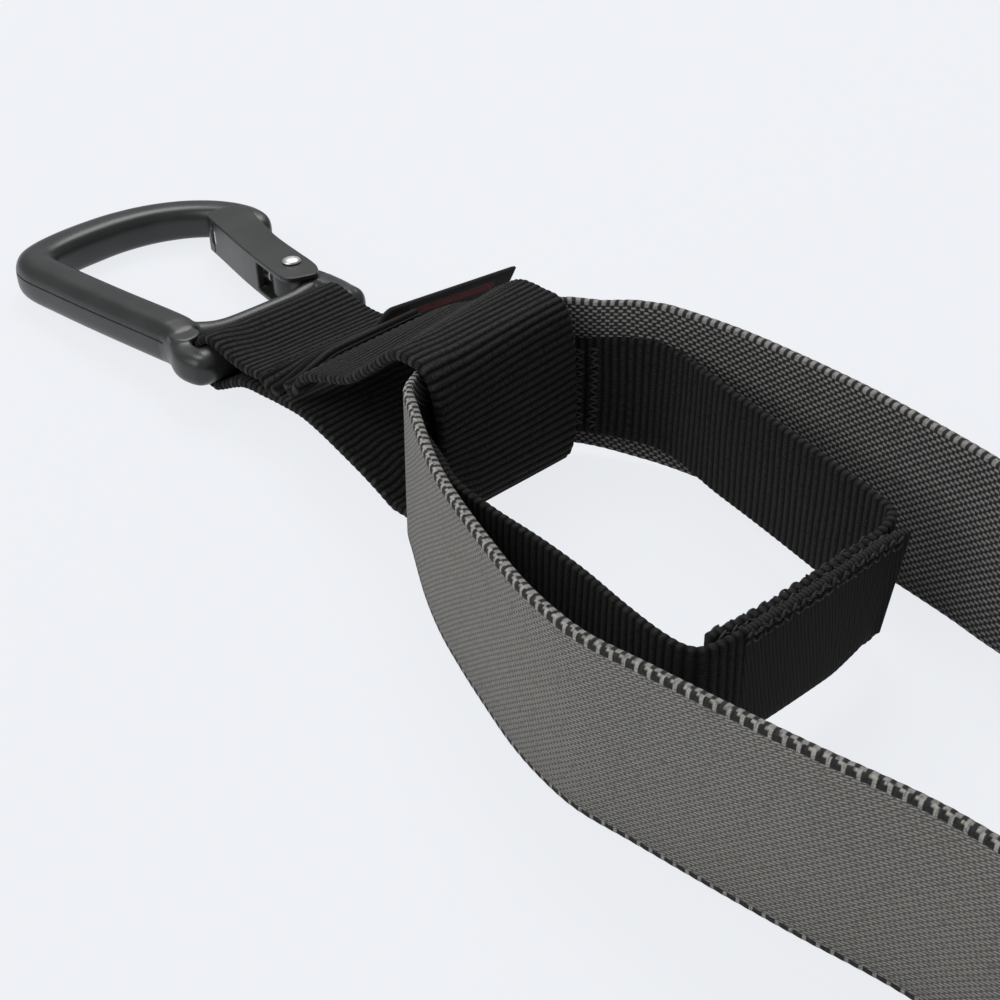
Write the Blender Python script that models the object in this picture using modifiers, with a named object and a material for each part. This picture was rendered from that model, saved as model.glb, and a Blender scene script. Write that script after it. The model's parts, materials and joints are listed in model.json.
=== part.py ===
# Suspension trainer laid out on a floor. A snap carabiner with a captive webbing eye holds a loop
# of black anchor webbing, and the main strap bends through that loop. On each side the main strap
# is folded into a hank and ends at a cam buckle, through which the handle's own strap is taken up.
# Metres, +Z up. +X runs from the carabiner to the handles. The origin is on the floor under the
# bend of the main strap, where the anchor webbing lies flat.

from math import asin, atan2, cos, pi, radians, sin, tan

import bmesh
import bpy
from mathutils import Matrix, Vector

# Clearances and cutting
SEAT_GAP = 0.0003
RUNNING_GAP = 0.0004
CUT_OVERRUN = 0.004
MERGE = 0.00001

# Webbing
STRAP_WIDTH = 0.038
STRAP_THICK = 0.0020
ANCHOR_WIDTH = 0.0380
ANCHOR_THICK = 0.0022
LOCK_WIDTH = 0.025
LOCK_THICK = 0.0018
HANDLE_WEB_WIDTH = 0.025
HANDLE_WEB_THICK = 0.0018

# Anchor loop: from the carabiner's eye bar to the far face, seen from the side
ANCHOR_LENGTH = 0.0756
BEND_ROOM = 0.0125
EYE_BAR_PLACE = (BEND_ROOM - ANCHOR_LENGTH, -0.0073)
EYE_BAR_HEIGHT = 0.0104
ANCHOR_HEADING = radians(4.5)
ANCHOR_HEIGHT = 0.0430
SEAM_PLACE = 0.0249
LIP_SPACING = 0.0044
LIP_BEND = 0.0022
EYE_LIP_BASE = 0.0146
EYE_LIP_HEIGHT = 0.0038
LOOP_LIP_BASE = 0.0182
LOOP_LIP_HEIGHT = 0.0036

# Label tab sewn in the seam of the anchor loop
TAB_START = 0.003
TAB_END = 0.0520
TAB_HEIGHT = 0.0050
TAB_THICK = 0.0016
TAB_TOP = 0.0226
TAB_DROOP = 0.0042
TAB_SLANT = 0.0040

# Main strap: the bend and the two legs
LEG_LENGTH = 0.175
LEG_SPREAD = 0.038
STRAP_LIFT = ANCHOR_THICK + SEAT_GAP

# Locking loop between the legs
LOCK_LENGTH = 0.0988
LOCK_SPREAD = 0.034
LOCK_RAISE = 0.0065
LOCK_SEAM = 0.016

# Hanks of folded strap, one each side
HANK_LEAD = 0.007
HANK_ENTRY_RADIUS = 0.012
HANK_INNER = 0.020
HANK_OUTER = 0.143
FOLD_RADIUS = 0.0045
BUCKLE_FOLD_RADIUS = 0.012
TAKE_UP_FOLD_RADIUS = 0.005
MAIN_FOLDS = 4
TAKE_UP_FOLDS = 5
FOLD_STEPS = 6
BUCKLE_LIFT = 0.0048

# Carabiner frame
STOCK_RADIUS = 0.0056
FRAME_LENGTH = 0.0856
FRAME_SPAN = 0.0528
SPINE_OFFSET = 0.0169
EYE_BAR_RADIUS = 0.0041
EYE_INSIDE = 0.0394
INNER_BAR_PLACE = 0.0110
INNER_BAR_RADIUS = 0.0027
HINGE_LOBE_RADIUS = 0.0050
CARABINER_TILT = radians(3.5)

# Gate and its fittings
GATE_HALF_WIDTH = 0.0060
GATE_HEEL = 0.0100
GATE_HEIGHT = 0.0096
GATE_SHEET = 0.0013
GATE_FILLET = 0.0006
WEB_START = 0.0092
WEB_BEYOND_LATCH = 0.0039
PIN_WINDOW_LENGTH = 0.0036
PIN_WINDOW_HEIGHT = 0.0042
RIVET_RADIUS = 0.0015
RIVET_HEAD_RADIUS = 0.0023
RIVET_HEAD_HEIGHT = 0.0008
LATCH_PIN_RADIUS = 0.0014
LATCH_PIN_INWARD = 0.0026
LATCH_PIN_SEAT = 0.0007
PLUNGER_RADIUS = 0.0016
PLUNGER_HEAD_RADIUS = 0.0024
PLUNGER_LENGTH = 0.0100
PLUNGER_HEAD = 0.0012
GATE_SPRING_RADIUS = 0.0023
GATE_SPRING_WIRE = 0.0003
GATE_SPRING_TURNS = 6
COIL_STEPS = 8

# Cam buckle
BUCKLE_INSIDE = 0.0396
BUCKLE_PLATE = 0.0019
BUCKLE_FRONT = 0.0150
BUCKLE_BACK = 0.0290
CHEEK_HEIGHT = 0.0175
BUCKLE_CORNER = 0.0050
CAM_PIN_RADIUS = 0.0024
CAM_PIN_HEAD = 0.0036
CAM_PIN_HEAD_THICK = 0.0010
CAM_AXIS_HEIGHT = 0.0112
CAM_RADIUS = 0.0082
CAM_TOOTH = 0.0007
CAM_TEETH = 9
CAM_TOOTH_PITCH = radians(11.0)
LEVER_LENGTH = 0.0300
LEVER_THICK = 0.0026
LEVER_SLOPE = radians(14.0)
LEVER_LIP = 0.0035
LEVER_RISE = 0.0010
REAR_BAR_RADIUS = 0.0024
REAR_BAR_PLACE = 0.0225
REAR_BAR_HEIGHT = 0.0080
CAM_SPRING_RADIUS = 0.0038
CAM_SPRING_WIRE = 0.00045
CAM_SPRING_TURNS = 3
CAM_SPRING_POCKET = 0.0060
BUCKLE_PLACE = 0.0655
SEWN_RETURN = 0.018

# Adjustment tab that slides on the main strap
SLEEVE_LENGTH = 0.020
SLEEVE_WALL = 0.0016
SLEEVE_PLACE = 0.128
SLEEVE_SLACK = 0.0005
PULL_WIDTH = 0.026
PULL_THICK = 0.0016

# Handle: webbing triangle, grip tube, foam and end caps
HANDLE_PLACE = 0.100
SEWN_JOINT = 0.028
HANDLE_ANGLE = radians(30.0)
CORNER_RADIUS = 0.009
CORNER_MARGIN = 0.007
TUBE_LENGTH = 0.130
TUBE_RADIUS = 0.0145
TUBE_WALL = 0.0012
FOAM_RADIUS = 0.0185
FOAM_EDGE = 0.0030
CAP_RADIUS = 0.0170
CAP_FLANGE = 0.0030
CAP_SLEEVE = 0.0060
CRADLE_DEPTH = 0.085
CRADLE_RADIUS = 0.032
CRADLE_SEAM = 0.036
HANDLE_STEPS = 10

# Outlines as shares of the sizes above. Legs and locking loop: x of the reach, y of the spread,
# and the raise of the lower edge as a share of the lift at the bend.
NEAR_LEG_SHARES = (
    (0.008, -0.27, 1.0), (0.018, -0.46, 1.0), (0.050, -0.635, 1.0), (0.097, -0.758, 0.7),
    (0.160, -0.910, 0.35), (0.217, -1.024, 0.15), (0.274, -1.113, 0.05), (0.331, -1.192, 0.0),
    (0.400, -1.280, 0.0), (0.457, -1.324, 0.0), (0.509, -1.332, 0.0), (0.571, -1.284, 0.0),
    (0.657, -1.218, 0.0), (0.743, -1.145, 0.0), (0.857, -1.040, 0.0), (1.0, -1.0, 0.0),
)
FAR_LEG_SHARES = (
    (0.004, 0.25, 1.0), (0.009, 0.42, 1.0), (0.023, 0.560, 1.0), (0.052, 0.680, 0.8),
    (0.094, 0.795, 0.5), (0.141, 0.895, 0.25), (0.211, 0.980, 0.1), (0.286, 1.024, 0.0),
    (0.377, 1.042, 0.0), (0.457, 1.034, 0.0), (0.543, 1.008, 0.0), (0.629, 0.968, 0.0),
    (0.800, 0.962, 0.0), (1.0, 1.0, 0.0),
)
# Locking loop, from its inner end round the far side to the seam on the strap's bend
LOCK_FAR_SHARES = (
    (0.966, -0.890), (0.972, -0.560), (0.968, -0.200), (0.962, 0.150), (0.955, 0.400),
    (0.935, 0.560), (0.880, 0.618), (0.795, 0.660), (0.680, 0.715), (0.555, 0.770),
    (0.440, 0.815), (0.360, 0.860), (0.285, 0.895), (0.215, 0.872),
)
# The same from the seam along the near side to its outer end
LOCK_NEAR_SHARES = (
    (0.235, -0.830), (0.330, -0.935), (0.450, -0.965), (0.580, -0.965), (0.700, -0.985),
    (0.820, -1.030), (0.920, -1.050), (0.975, -1.020), (0.994, -0.900), (0.996, -0.560),
    (0.992, -0.200), (0.986, 0.150), (0.980, 0.400),
)
# Lower layer, far face and top of the anchor loop: share of the reach, share of the height
ANCHOR_LOWER_SHARES = (
    (0.139, 0.223), (0.243, 0.244), (0.328, 0.253), (0.417, 0.253),
    (0.503, 0.219), (0.587, 0.172), (0.669, 0.123), (0.731, 0.079),
    (0.771, 0.047),
)
ANCHOR_FACE_SHARES = (
    (0.950, 0.049), (0.986, 0.112), (0.999, 0.198), (1.003, 0.293),
    (1.000, 0.512), (0.993, 0.698), (0.980, 0.819), (0.962, 0.907),
    (0.935, 0.962), (0.896, 0.979), (0.856, 0.981), (0.822, 0.968),
    (0.784, 0.922), (0.745, 0.857), (0.708, 0.797), (0.676, 0.742),
    (0.642, 0.688), (0.602, 0.637), (0.517, 0.563), (0.454, 0.507),
)
ANCHOR_FLAT_SHARES = (0.800, 0.828, 0.861, 0.898)
ANCHOR_UPPER_SHARES = ((0.110, 0.330), (0.180, 0.323))
# Gate's hinge and latch: share of the frame's length from the eye bar, share of its span
HINGE_SHARES = (0.24416, 0.72917)
LATCH_SHARES = (0.65771, 0.90341)
# Carabiner stock: share of the length towards the tip, share of the span from the spine and
# share of the stock's radius
FRAME_SHARES = (
    (-0.048, -0.077, 0.16), (-0.040, -0.077, 0.44), (-0.023, -0.079, 0.645),
    (-0.000, -0.085, 0.715), (0.030, -0.093, 0.705), (0.058, -0.087, 0.70),
    (0.089, -0.057, 0.78), (0.126, -0.021, 0.89), (0.169, -0.002, 0.96),
    (0.222, 0.000, 1.00), (0.467, -0.023, 1.00), (0.678, -0.036, 1.00),
    (0.812, -0.038, 1.00), (0.873, 0.002, 1.00), (0.907, 0.087, 0.98),
    (0.927, 0.216, 0.96), (0.934, 0.354, 0.95), (0.933, 0.500, 0.93),
    (0.912, 0.661, 0.91), (0.870, 0.799, 0.89), (0.815, 0.900, 0.865),
    (0.755, 0.964, 0.845), (0.693, 0.996, 0.82), (0.640, 1.000, 0.77),
    (0.607, 0.994, 0.64), (0.589, 0.989, 0.46), (0.581, 0.985, 0.25),
)
# Far side of the eye, from its rounded corner to the hinge, on the same shares
ARM_SHARES = (
    (-0.047, 0.725, 0.16), (-0.039, 0.727, 0.43), (-0.022, 0.729, 0.64),
    (-0.000, 0.733, 0.73), (0.035, 0.742, 0.71), (0.082, 0.750, 0.71),
    (0.158, 0.744, 0.75), (0.244, 0.729, 0.77),
)
# Inner bar: across, share of half the eye's width; lean towards the tip, share of the bar's
# place; share of the bar's radius
INNER_BAR_SHARES = (
    (-1.02, 1.45, 2.1), (-0.82, 1.30, 1.75), (-0.62, 1.12, 1.35), (-0.40, 1.02, 1.08),
    (-0.10, 1.0, 1.0), (0.60, 1.0, 1.0), (0.85, 1.03, 1.1), (1.12, 1.10, 1.4),
)
# Plan of the gate's flanges and of the hook between them, in the gate's axes: along it as a
# share of the distance from hinge to latch, inwards as a share of its half width
GATE_SHARES = (
    (1.164, -0.083), (1.156, -0.483), (1.120, -0.717), (1.055, -0.800),
    (0.842, -0.750), (0.566, -0.617), (0.383, -0.600), (0.112, -0.683),
    (-0.033, -0.733), (-0.142, -0.717), (-0.224, -0.550), (-0.262, -0.300),
    (-0.262, 0.033), (-0.251, 0.467), (-0.230, 0.767), (-0.191, 0.917),
    (-0.128, 0.983), (0.115, 1.050), (0.440, 1.083), (0.847, 1.033),
    (1.038, 1.017), (1.107, 0.983), (1.142, 0.767), (1.158, 0.367),
)
HOOK_SHARES = (
    (0.907, -0.933), (1.011, -0.867), (1.126, -0.600), (1.219, -0.200),
    (1.191, 0.367), (1.137, 0.650), (1.066, 0.700), (0.940, 0.700),
    (0.913, 0.400), (0.896, -0.167),
)


# Domed rivet head: share of its radius, share of its height
RIVET_HEAD_SHARES = ((0.60, 0.92), (0.92, 0.55), (1.0, 0.0))
# Chamfers as shares of a head's radius and thickness, a cap's radius and flange, a foam's edge
PIN_FACE_SHARE = 0.8
PIN_CHAMFER_SHARE = 0.4
CAP_FACE_SHARE = 0.92
CAP_CHAMFER_SHARE = 0.5
FOAM_SHOULDER_SHARE = 0.3
# Cam: where a tooth's crest stands in its pitch, the back and the lever's root as shares of the
# cam's radius, and the lever's bend as a share of its length
TOOTH_CREST_SHARE = 0.3
CAM_BACK_SHARE = 0.8
LEVER_ROOT_SHARE = 0.86
LEVER_BEND_SHARE = 0.6


class Finish:
    """Colour, roughness and metallic value of one material."""

    made = {}

    def __init__(self, name, colour, roughness, metallic):
        self.name, self.colour = name, colour
        self.roughness, self.metallic = roughness, metallic

    def material(self):
        if self.name not in Finish.made:
            material = bpy.data.materials.new(self.name)
            material.use_nodes = True
            shader = material.node_tree.nodes["Principled BSDF"]
            shader.inputs["Base Color"].default_value = (*self.colour, 1.0)
            shader.inputs["Roughness"].default_value = self.roughness
            shader.inputs["Metallic"].default_value = self.metallic
            Finish.made[self.name] = material
        return Finish.made[self.name]


BLACK_METAL = Finish("black_anodised", (0.020, 0.021, 0.022), 0.45, 0.6)
BRIGHT_STEEL = Finish("bright_steel", (0.62, 0.62, 0.62), 0.25, 1.0)
BLACK_WEBBING = Finish("black_webbing", (0.012, 0.012, 0.013), 0.90, 0.0)
GREY_WEBBING = Finish("grey_webbing", (0.150, 0.147, 0.140), 0.90, 0.0)
LABEL_CLOTH = Finish("label_cloth", (0.035, 0.018, 0.019), 0.85, 0.0)
FOAM = Finish("black_foam", (0.016, 0.016, 0.017), 0.95, 0.0)
RUBBER = Finish("black_rubber", (0.022, 0.022, 0.023), 0.70, 0.0)
TUBE_PLASTIC = Finish("tube_plastic", (0.060, 0.060, 0.062), 0.50, 0.0)


def clear_scene():
    for thing in list(bpy.data.objects):
        bpy.data.objects.remove(thing, do_unlink=True)
    for group in list(bpy.data.collections):
        bpy.data.collections.remove(group)


def new_collection(name):
    group = bpy.data.collections.new(name)
    bpy.context.scene.collection.children.link(group)
    return group


def new_object(name, data, group, finish=None, parent=None):
    thing = bpy.data.objects.new(name, data)
    group.objects.link(thing)
    thing.parent = parent
    if finish:
        data.materials.append(finish.material())
    return thing


def frame_empty(name, matrix, group):
    """An empty that carries a sub-assembly's own axes."""
    empty = bpy.data.objects.new(name, None)
    group.objects.link(empty)
    empty.matrix_world = matrix
    return empty


def shade(thing, angle=radians(35.0)):
    thing.data.shade_smooth()
    thing.data.set_sharp_from_angle(angle=angle)


def cylinder(name, radius, low, high, group, finish=None, parent=None, axis="Z", sides=24):
    """A round bar from low to high along one of its own axes."""
    mesh = bpy.data.meshes.new(name)
    shape = bmesh.new()
    bmesh.ops.create_cone(
        shape, cap_ends=True, segments=sides, radius1=radius, radius2=radius, depth=high - low
    )
    bmesh.ops.translate(shape, verts=shape.verts, vec=(0, 0, (low + high) / 2))
    if axis == "Y":
        bmesh.ops.rotate(shape, verts=shape.verts, matrix=Matrix.Rotation(-pi / 2, 3, "X"))
    if axis == "X":
        bmesh.ops.rotate(shape, verts=shape.verts, matrix=Matrix.Rotation(pi / 2, 3, "Y"))
    shape.to_mesh(mesh)
    shape.free()
    thing = new_object(name, mesh, group, finish, parent)
    shade(thing)
    return thing


def block(name, low, high, group, finish=None, parent=None):
    """A box between two corners."""
    mesh = bpy.data.meshes.new(name)
    shape = bmesh.new()
    bmesh.ops.create_cube(shape, size=1.0)
    size = [top - bottom for bottom, top in zip(low, high)]
    middle = [(top + bottom) / 2 for bottom, top in zip(low, high)]
    bmesh.ops.scale(shape, verts=shape.verts, vec=size)
    bmesh.ops.translate(shape, verts=shape.verts, vec=middle)
    shape.to_mesh(mesh)
    shape.free()
    return new_object(name, mesh, group, finish, parent)


def as_mesh(curve_object, name, group, finish=None, parent=None):
    """Replace a curve object by a welded mesh object in its own axes."""
    bpy.context.view_layer.update()
    graph = bpy.context.evaluated_depsgraph_get()
    mesh = bpy.data.meshes.new_from_object(curve_object.evaluated_get(graph))
    shape = bmesh.new()
    shape.from_mesh(mesh)
    bmesh.ops.remove_doubles(shape, verts=shape.verts, dist=MERGE)
    bmesh.ops.recalc_face_normals(shape, faces=shape.faces)
    shape.to_mesh(mesh)
    shape.free()
    mesh.materials.clear()
    bpy.data.objects.remove(curve_object, do_unlink=True)
    thing = new_object(name, mesh, group, finish, parent)
    shade(thing)
    return thing


def rod(name, points, radius, group, finish=None, parent=None, resolution=4, shares=None):
    """A round bar swept along a line of points, its radius varied by shares if given."""
    curve = bpy.data.curves.new(name, "CURVE")
    curve.dimensions = "3D"
    curve.bevel_depth = radius
    curve.bevel_resolution = resolution
    curve.use_fill_caps = True
    spline = curve.splines.new("POLY")
    spline.points.add(len(points) - 1)
    for knot, point, share in zip(spline.points, points, shares or [1.0] * len(points)):
        knot.co = (*point, 1.0)
        knot.radius = share
    return as_mesh(new_object(name, curve, group), name, group, finish, parent)


def plate(name, outlines, low, high, group, finish=None, parent=None):
    """A flat outline, with any holes as further outlines, between two heights."""
    curve = bpy.data.curves.new(name, "CURVE")
    curve.dimensions = "2D"
    curve.fill_mode = "BOTH"
    curve.extrude = (high - low) / 2
    for outline in outlines:
        spline = curve.splines.new("POLY")
        spline.points.add(len(outline) - 1)
        spline.use_cyclic_u = True
        for knot, point in zip(spline.points, outline):
            knot.co = (point[0], point[1], 0.0, 1.0)
    thing = as_mesh(new_object(name, curve, group), name, group, finish, parent)
    thing.data.transform(Matrix.Translation((0, 0, (low + high) / 2)))
    return thing


def turned(name, profile, group, finish, parent=None, sides=20, axis="Z"):
    """A profile of (radius, height) points, top to bottom, spun round its axis."""
    mesh = bpy.data.meshes.new(name)
    shape = bmesh.new()
    knots = [shape.verts.new((radius, 0, height)) for radius, height in profile]
    closed = profile[0][0] > 0
    for first, second in zip(knots, knots[1:] + knots[:1] if closed else knots[1:]):
        shape.edges.new((first, second))
    shape.to_mesh(mesh)
    shape.free()
    thing = new_object(name, mesh, group, finish, parent)
    screw = thing.modifiers.new("spin", "SCREW")
    screw.axis = "Z"
    screw.steps = sides
    screw.render_steps = sides
    screw.use_merge_vertices = True
    screw.merge_threshold = MERGE
    if axis == "Y":
        thing.rotation_euler = (-pi / 2, 0, 0)
    return thing


def cut(thing, cutter, operation="DIFFERENCE"):
    """Boolean a hidden shape with a visible one."""
    cutter.hide_render = True
    cutter.display_type = "WIRE"
    step = thing.modifiers.new(cutter.name, "BOOLEAN")
    step.operation = operation
    step.solver = "EXACT"
    step.object = cutter


def add(thing, shape):
    cut(thing, shape, "UNION")


def arc(centre, radius, start, end, steps):
    """Points of a circle's arc, both ends included."""
    points = []
    for step in range(steps + 1):
        angle = start + (end - start) * step / steps
        points.append((centre[0] + radius * cos(angle), centre[1] + radius * sin(angle)))
    return points


def smooth(points, steps):
    """A smooth line through the points, with steps pieces between each two."""
    points = [Vector(point) for point in points]
    padded = [2 * points[0] - points[1], *points, 2 * points[-1] - points[-2]]
    line = []
    for before, start, end, after in zip(padded, padded[1:], padded[2:], padded[3:]):
        for step in range(steps):
            t = step / steps
            line.append(
                (
                    2 * start
                    + (end - before) * t
                    + (2 * before - 5 * start + 4 * end - after) * t**2
                    + (3 * start - before - 3 * end + after) * t**3
                )
                / 2
            )
    line.append(points[-1])
    return line


def webbing(name, centres, across, thick, group, finish):
    """A strip of webbing: its centre line and, at each point, half its width as a vector."""
    if isinstance(across, Vector):
        across = [across] * len(centres)
    mesh = bpy.data.meshes.new(name)
    shape = bmesh.new()
    low = [shape.verts.new(centre - half) for centre, half in zip(centres, across)]
    high = [shape.verts.new(centre + half) for centre, half in zip(centres, across)]
    for i in range(len(centres) - 1):
        shape.faces.new((low[i], low[i + 1], high[i + 1], high[i]))
    shape.to_mesh(mesh)
    shape.free()
    strip = new_object(name, mesh, group, finish)
    shell = strip.modifiers.new("thickness", "SOLIDIFY")
    shell.thickness = thick
    shell.offset = 0
    shell.use_even_offset = True
    return strip


def on_edge(points, width):
    """Centre points of webbing that stands on its edge, from points of its lower edge."""
    return [Vector((x, y, z + width / 2)) for x, y, z in points]


class Route:
    """A line in plan made of straights and arcs; turns are counted outwards from the middle."""

    def __init__(self, x, outward, heading, side, height=0.0):
        self.x, self.outward, self.heading = x, outward, heading
        self.side, self.height = side, height
        self.points = []
        self.mark()

    def mark(self):
        self.points.append(Vector((self.x, self.side * self.outward, self.height)))

    def forward(self, length, rise=0.0):
        self.x += length * cos(self.heading)
        self.outward += length * sin(self.heading)
        self.height += rise
        self.mark()
        return self

    def forward_to(self, outward, rise=0.0):
        return self.forward(abs(outward - self.outward), rise)

    def turn(self, angle, radius, steps):
        """Turn by the angle; positive is anticlockwise seen from above on the far side."""
        way = 1 if angle > 0 else -1
        centre_x = self.x - way * radius * sin(self.heading)
        centre_outward = self.outward + way * radius * cos(self.heading)
        start = self.heading
        for step in range(1, steps + 1):
            self.heading = start + angle * step / steps
            self.x = centre_x + way * radius * sin(self.heading)
            self.outward = centre_outward - way * radius * cos(self.heading)
            self.mark()
        return self


# Carabiner

def stock(name, shares, group, finish, body):
    """A piece of the forged stock: its line in the carabiner's plane and its radius."""
    knots = [
        Vector((-along * FRAME_LENGTH, across * FRAME_SPAN - SPINE_OFFSET, radius))
        for along, across, radius in shares
    ]
    line = smooth(knots, 2)
    points = [(knot.x, knot.y, 0.0) for knot in line]
    return rod(
        name, points, STOCK_RADIUS, group, finish, body, shares=[knot.z for knot in line]
    )


def gate_axes():
    """Hinge point, direction to the latch, inward direction and length of the gate."""
    hinge, latch = (
        Vector((-along * FRAME_LENGTH, across * FRAME_SPAN - SPINE_OFFSET, 0.0))
        for along, across in (HINGE_SHARES, LATCH_SHARES)
    )
    along = (latch - hinge).normalized()
    inward = Vector((-along.y, along.x, 0.0))
    return hinge, along, inward, (latch - hinge).length


def in_gate(along_by, inward_by):
    """A point of the carabiner's plane from its place in the gate's axes."""
    hinge, along, inward, _ = gate_axes()
    return hinge + along_by * along + inward_by * inward


def latch_pin_place():
    """Centre of the latch pin in the gate's axes: along it and inwards."""
    return gate_axes()[3], LATCH_PIN_INWARD


def gate_plan(shares, grow=0.0):
    """An outline in the gate's axes, moved outwards by the given distance."""
    length = gate_axes()[3]
    points = [in_gate(x * length, y * GATE_HALF_WIDTH).xy for x, y in shares]
    grown = []
    for before, here, after in zip([points[-1], *points], points, [*points[1:], points[0]]):
        way = (after - before).normalized()
        grown.append(here + grow * Vector((-way.y, way.x)))
    return grown


def along_gate(name, low, high, group, parent):
    """A cutting box in the gate's axes: along it, inwards from its line, and up."""
    hinge, along, inward, _ = gate_axes()
    box = block(name, low, high, group, None, parent)
    axes = Matrix((along, inward, (0, 0, 1))).transposed().to_4x4()
    box.data.transform(Matrix.Translation(hinge) @ axes)
    return box


def eye_opening(cutters, body):
    """The eye's flat side walls, between the eye bar and the inner bar."""
    half_eye = EYE_INSIDE / 2
    return block(
        "eye_opening", (-INNER_BAR_PLACE, -half_eye, -GATE_HEIGHT), (0, half_eye, GATE_HEIGHT),
        cutters, None, body,
    )


def inner_bar(cutters, body):
    """The bar that parts the webbing's eye from the snap's opening, filleted at its ends."""
    half_eye = EYE_INSIDE / 2
    line = [(-lean * INNER_BAR_PLACE, across * half_eye, 0.0) for across, lean, _ in INNER_BAR_SHARES]
    shares = [share for _, _, share in INNER_BAR_SHARES]
    return rod("inner_bar", line, INNER_BAR_RADIUS, cutters, None, body, shares=shares)


def carabiner_frame(parts, cutters, body):
    """The forged D with its eye: spine, tip, nose, eye bar, inner bar and hinge lobe."""
    frame = stock("carabiner_frame", FRAME_SHARES, parts, BLACK_METAL, body)
    add(frame, stock("far_arm", ARM_SHARES, cutters, None, body))
    cut(frame, eye_opening(cutters, body))
    half_eye = EYE_INSIDE / 2 + EYE_BAR_RADIUS / 2
    add(
        frame,
        cylinder("eye_bar", EYE_BAR_RADIUS, -half_eye, half_eye, cutters, None, body, axis="Y"),
    )
    add(frame, inner_bar(cutters, body))
    hinge = in_gate(0, 0)
    tongue = GATE_HEIGHT / 2 - GATE_SHEET - RUNNING_GAP
    for word, low, high in (("upper", tongue, GATE_HEIGHT), ("lower", -GATE_HEIGHT, -tongue)):
        outline = gate_plan(GATE_SHARES, RUNNING_GAP)
        cut(frame, plate(word + "_relief", [outline], low, high, cutters, None, body))
        heel = cylinder(word + "_heel_relief", GATE_HEEL, low, high, cutters, None, body)
        heel.location = hinge
        cut(frame, heel)
    lobe = cylinder("hinge_lobe", HINGE_LOBE_RADIUS, -tongue, tongue, cutters, None, body)
    lobe.location = hinge
    add(frame, lobe)
    add(frame, plate("nose_hook", [gate_plan(HOOK_SHARES)], -tongue, tongue, cutters, None, body))
    slot = LATCH_PIN_RADIUS + RUNNING_GAP
    pin_along, pin_inward = latch_pin_place()
    cut(
        frame,
        along_gate(
            "latch_notch", (pin_along - slot, pin_inward, -GATE_HEIGHT),
            (pin_along + slot, GATE_HALF_WIDTH + CUT_OVERRUN, GATE_HEIGHT), cutters, body,
        ),
    )
    seat = cylinder("latch_seat", slot, -GATE_HEIGHT, GATE_HEIGHT, cutters, None, body)
    seat.location = in_gate(pin_along, pin_inward)
    cut(frame, seat)
    web_side = GATE_HALF_WIDTH - GATE_SHEET - RUNNING_GAP
    cut(
        frame,
        along_gate(
            "web_room", (WEB_START - RUNNING_GAP, web_side, -GATE_HEIGHT / 2),
            (pin_along + WEB_BEYOND_LATCH + RUNNING_GAP, GATE_HALF_WIDTH + CUT_OVERRUN, GATE_HEIGHT / 2),
            cutters, body,
        ),
    )
    eye = cylinder(
        "rivet_hole", RIVET_RADIUS + SEAT_GAP, -GATE_HEIGHT, GATE_HEIGHT, cutters, None, body
    )
    eye.location = hinge
    cut(frame, eye)


def carabiner_gate(parts, cutters, body):
    """A folded channel: two flanges that straddle the frame and a web on the inner side."""
    half = GATE_HEIGHT / 2
    gate = plate(
        "carabiner_gate", [gate_plan(GATE_SHARES)], -half, half, parts, BLACK_METAL, body
    )
    inside = half - GATE_SHEET
    far = gate_axes()[3] + 2 * GATE_HALF_WIDTH
    near = -GATE_HEEL - CUT_OVERRUN
    outer = -GATE_HALF_WIDTH - CUT_OVERRUN
    deep = GATE_HALF_WIDTH + CUT_OVERRUN
    web_line = GATE_HALF_WIDTH - GATE_SHEET
    pin_along, pin_inward = latch_pin_place()
    window = PIN_WINDOW_LENGTH / 2
    rise = PIN_WINDOW_HEIGHT / 2
    for name, low, high in (
        ("channel", (near, outer, -inside), (far, web_line, inside)),
        ("web_heel", (near, outer, -inside), (WEB_START, deep, inside)),
        ("web_toe", (pin_along + WEB_BEYOND_LATCH, outer, -inside), (far, deep, inside)),
        ("pin_window", (pin_along - window, outer, -rise), (pin_along + window, deep, rise)),
    ):
        cut(gate, along_gate(name, low, high, cutters, body))
    depth = inside + LATCH_PIN_SEAT
    for name, place, radius, reach in (
        ("gate_rivet_hole", in_gate(0, 0), RIVET_RADIUS + RUNNING_GAP, GATE_HEIGHT),
        ("gate_pin_hole", in_gate(pin_along, pin_inward), LATCH_PIN_RADIUS + SEAT_GAP, depth),
    ):
        hole = cylinder(name, radius, -reach, reach, cutters, None, body, sides=16)
        hole.location = place
        cut(gate, hole)
    edge = gate.modifiers.new("edge", "BEVEL")
    edge.width = GATE_FILLET
    edge.segments = 1
    edge.limit_method = "ANGLE"
    edge.angle_limit = radians(50.0)


def coil(radius, low, high, turns):
    """Points of a coil about +Z."""
    count = turns * COIL_STEPS
    return [
        Vector((
            radius * cos(2 * pi * step / COIL_STEPS),
            radius * sin(2 * pi * step / COIL_STEPS),
            low + (high - low) * step / count,
        ))
        for step in range(count + 1)
    ]


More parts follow.
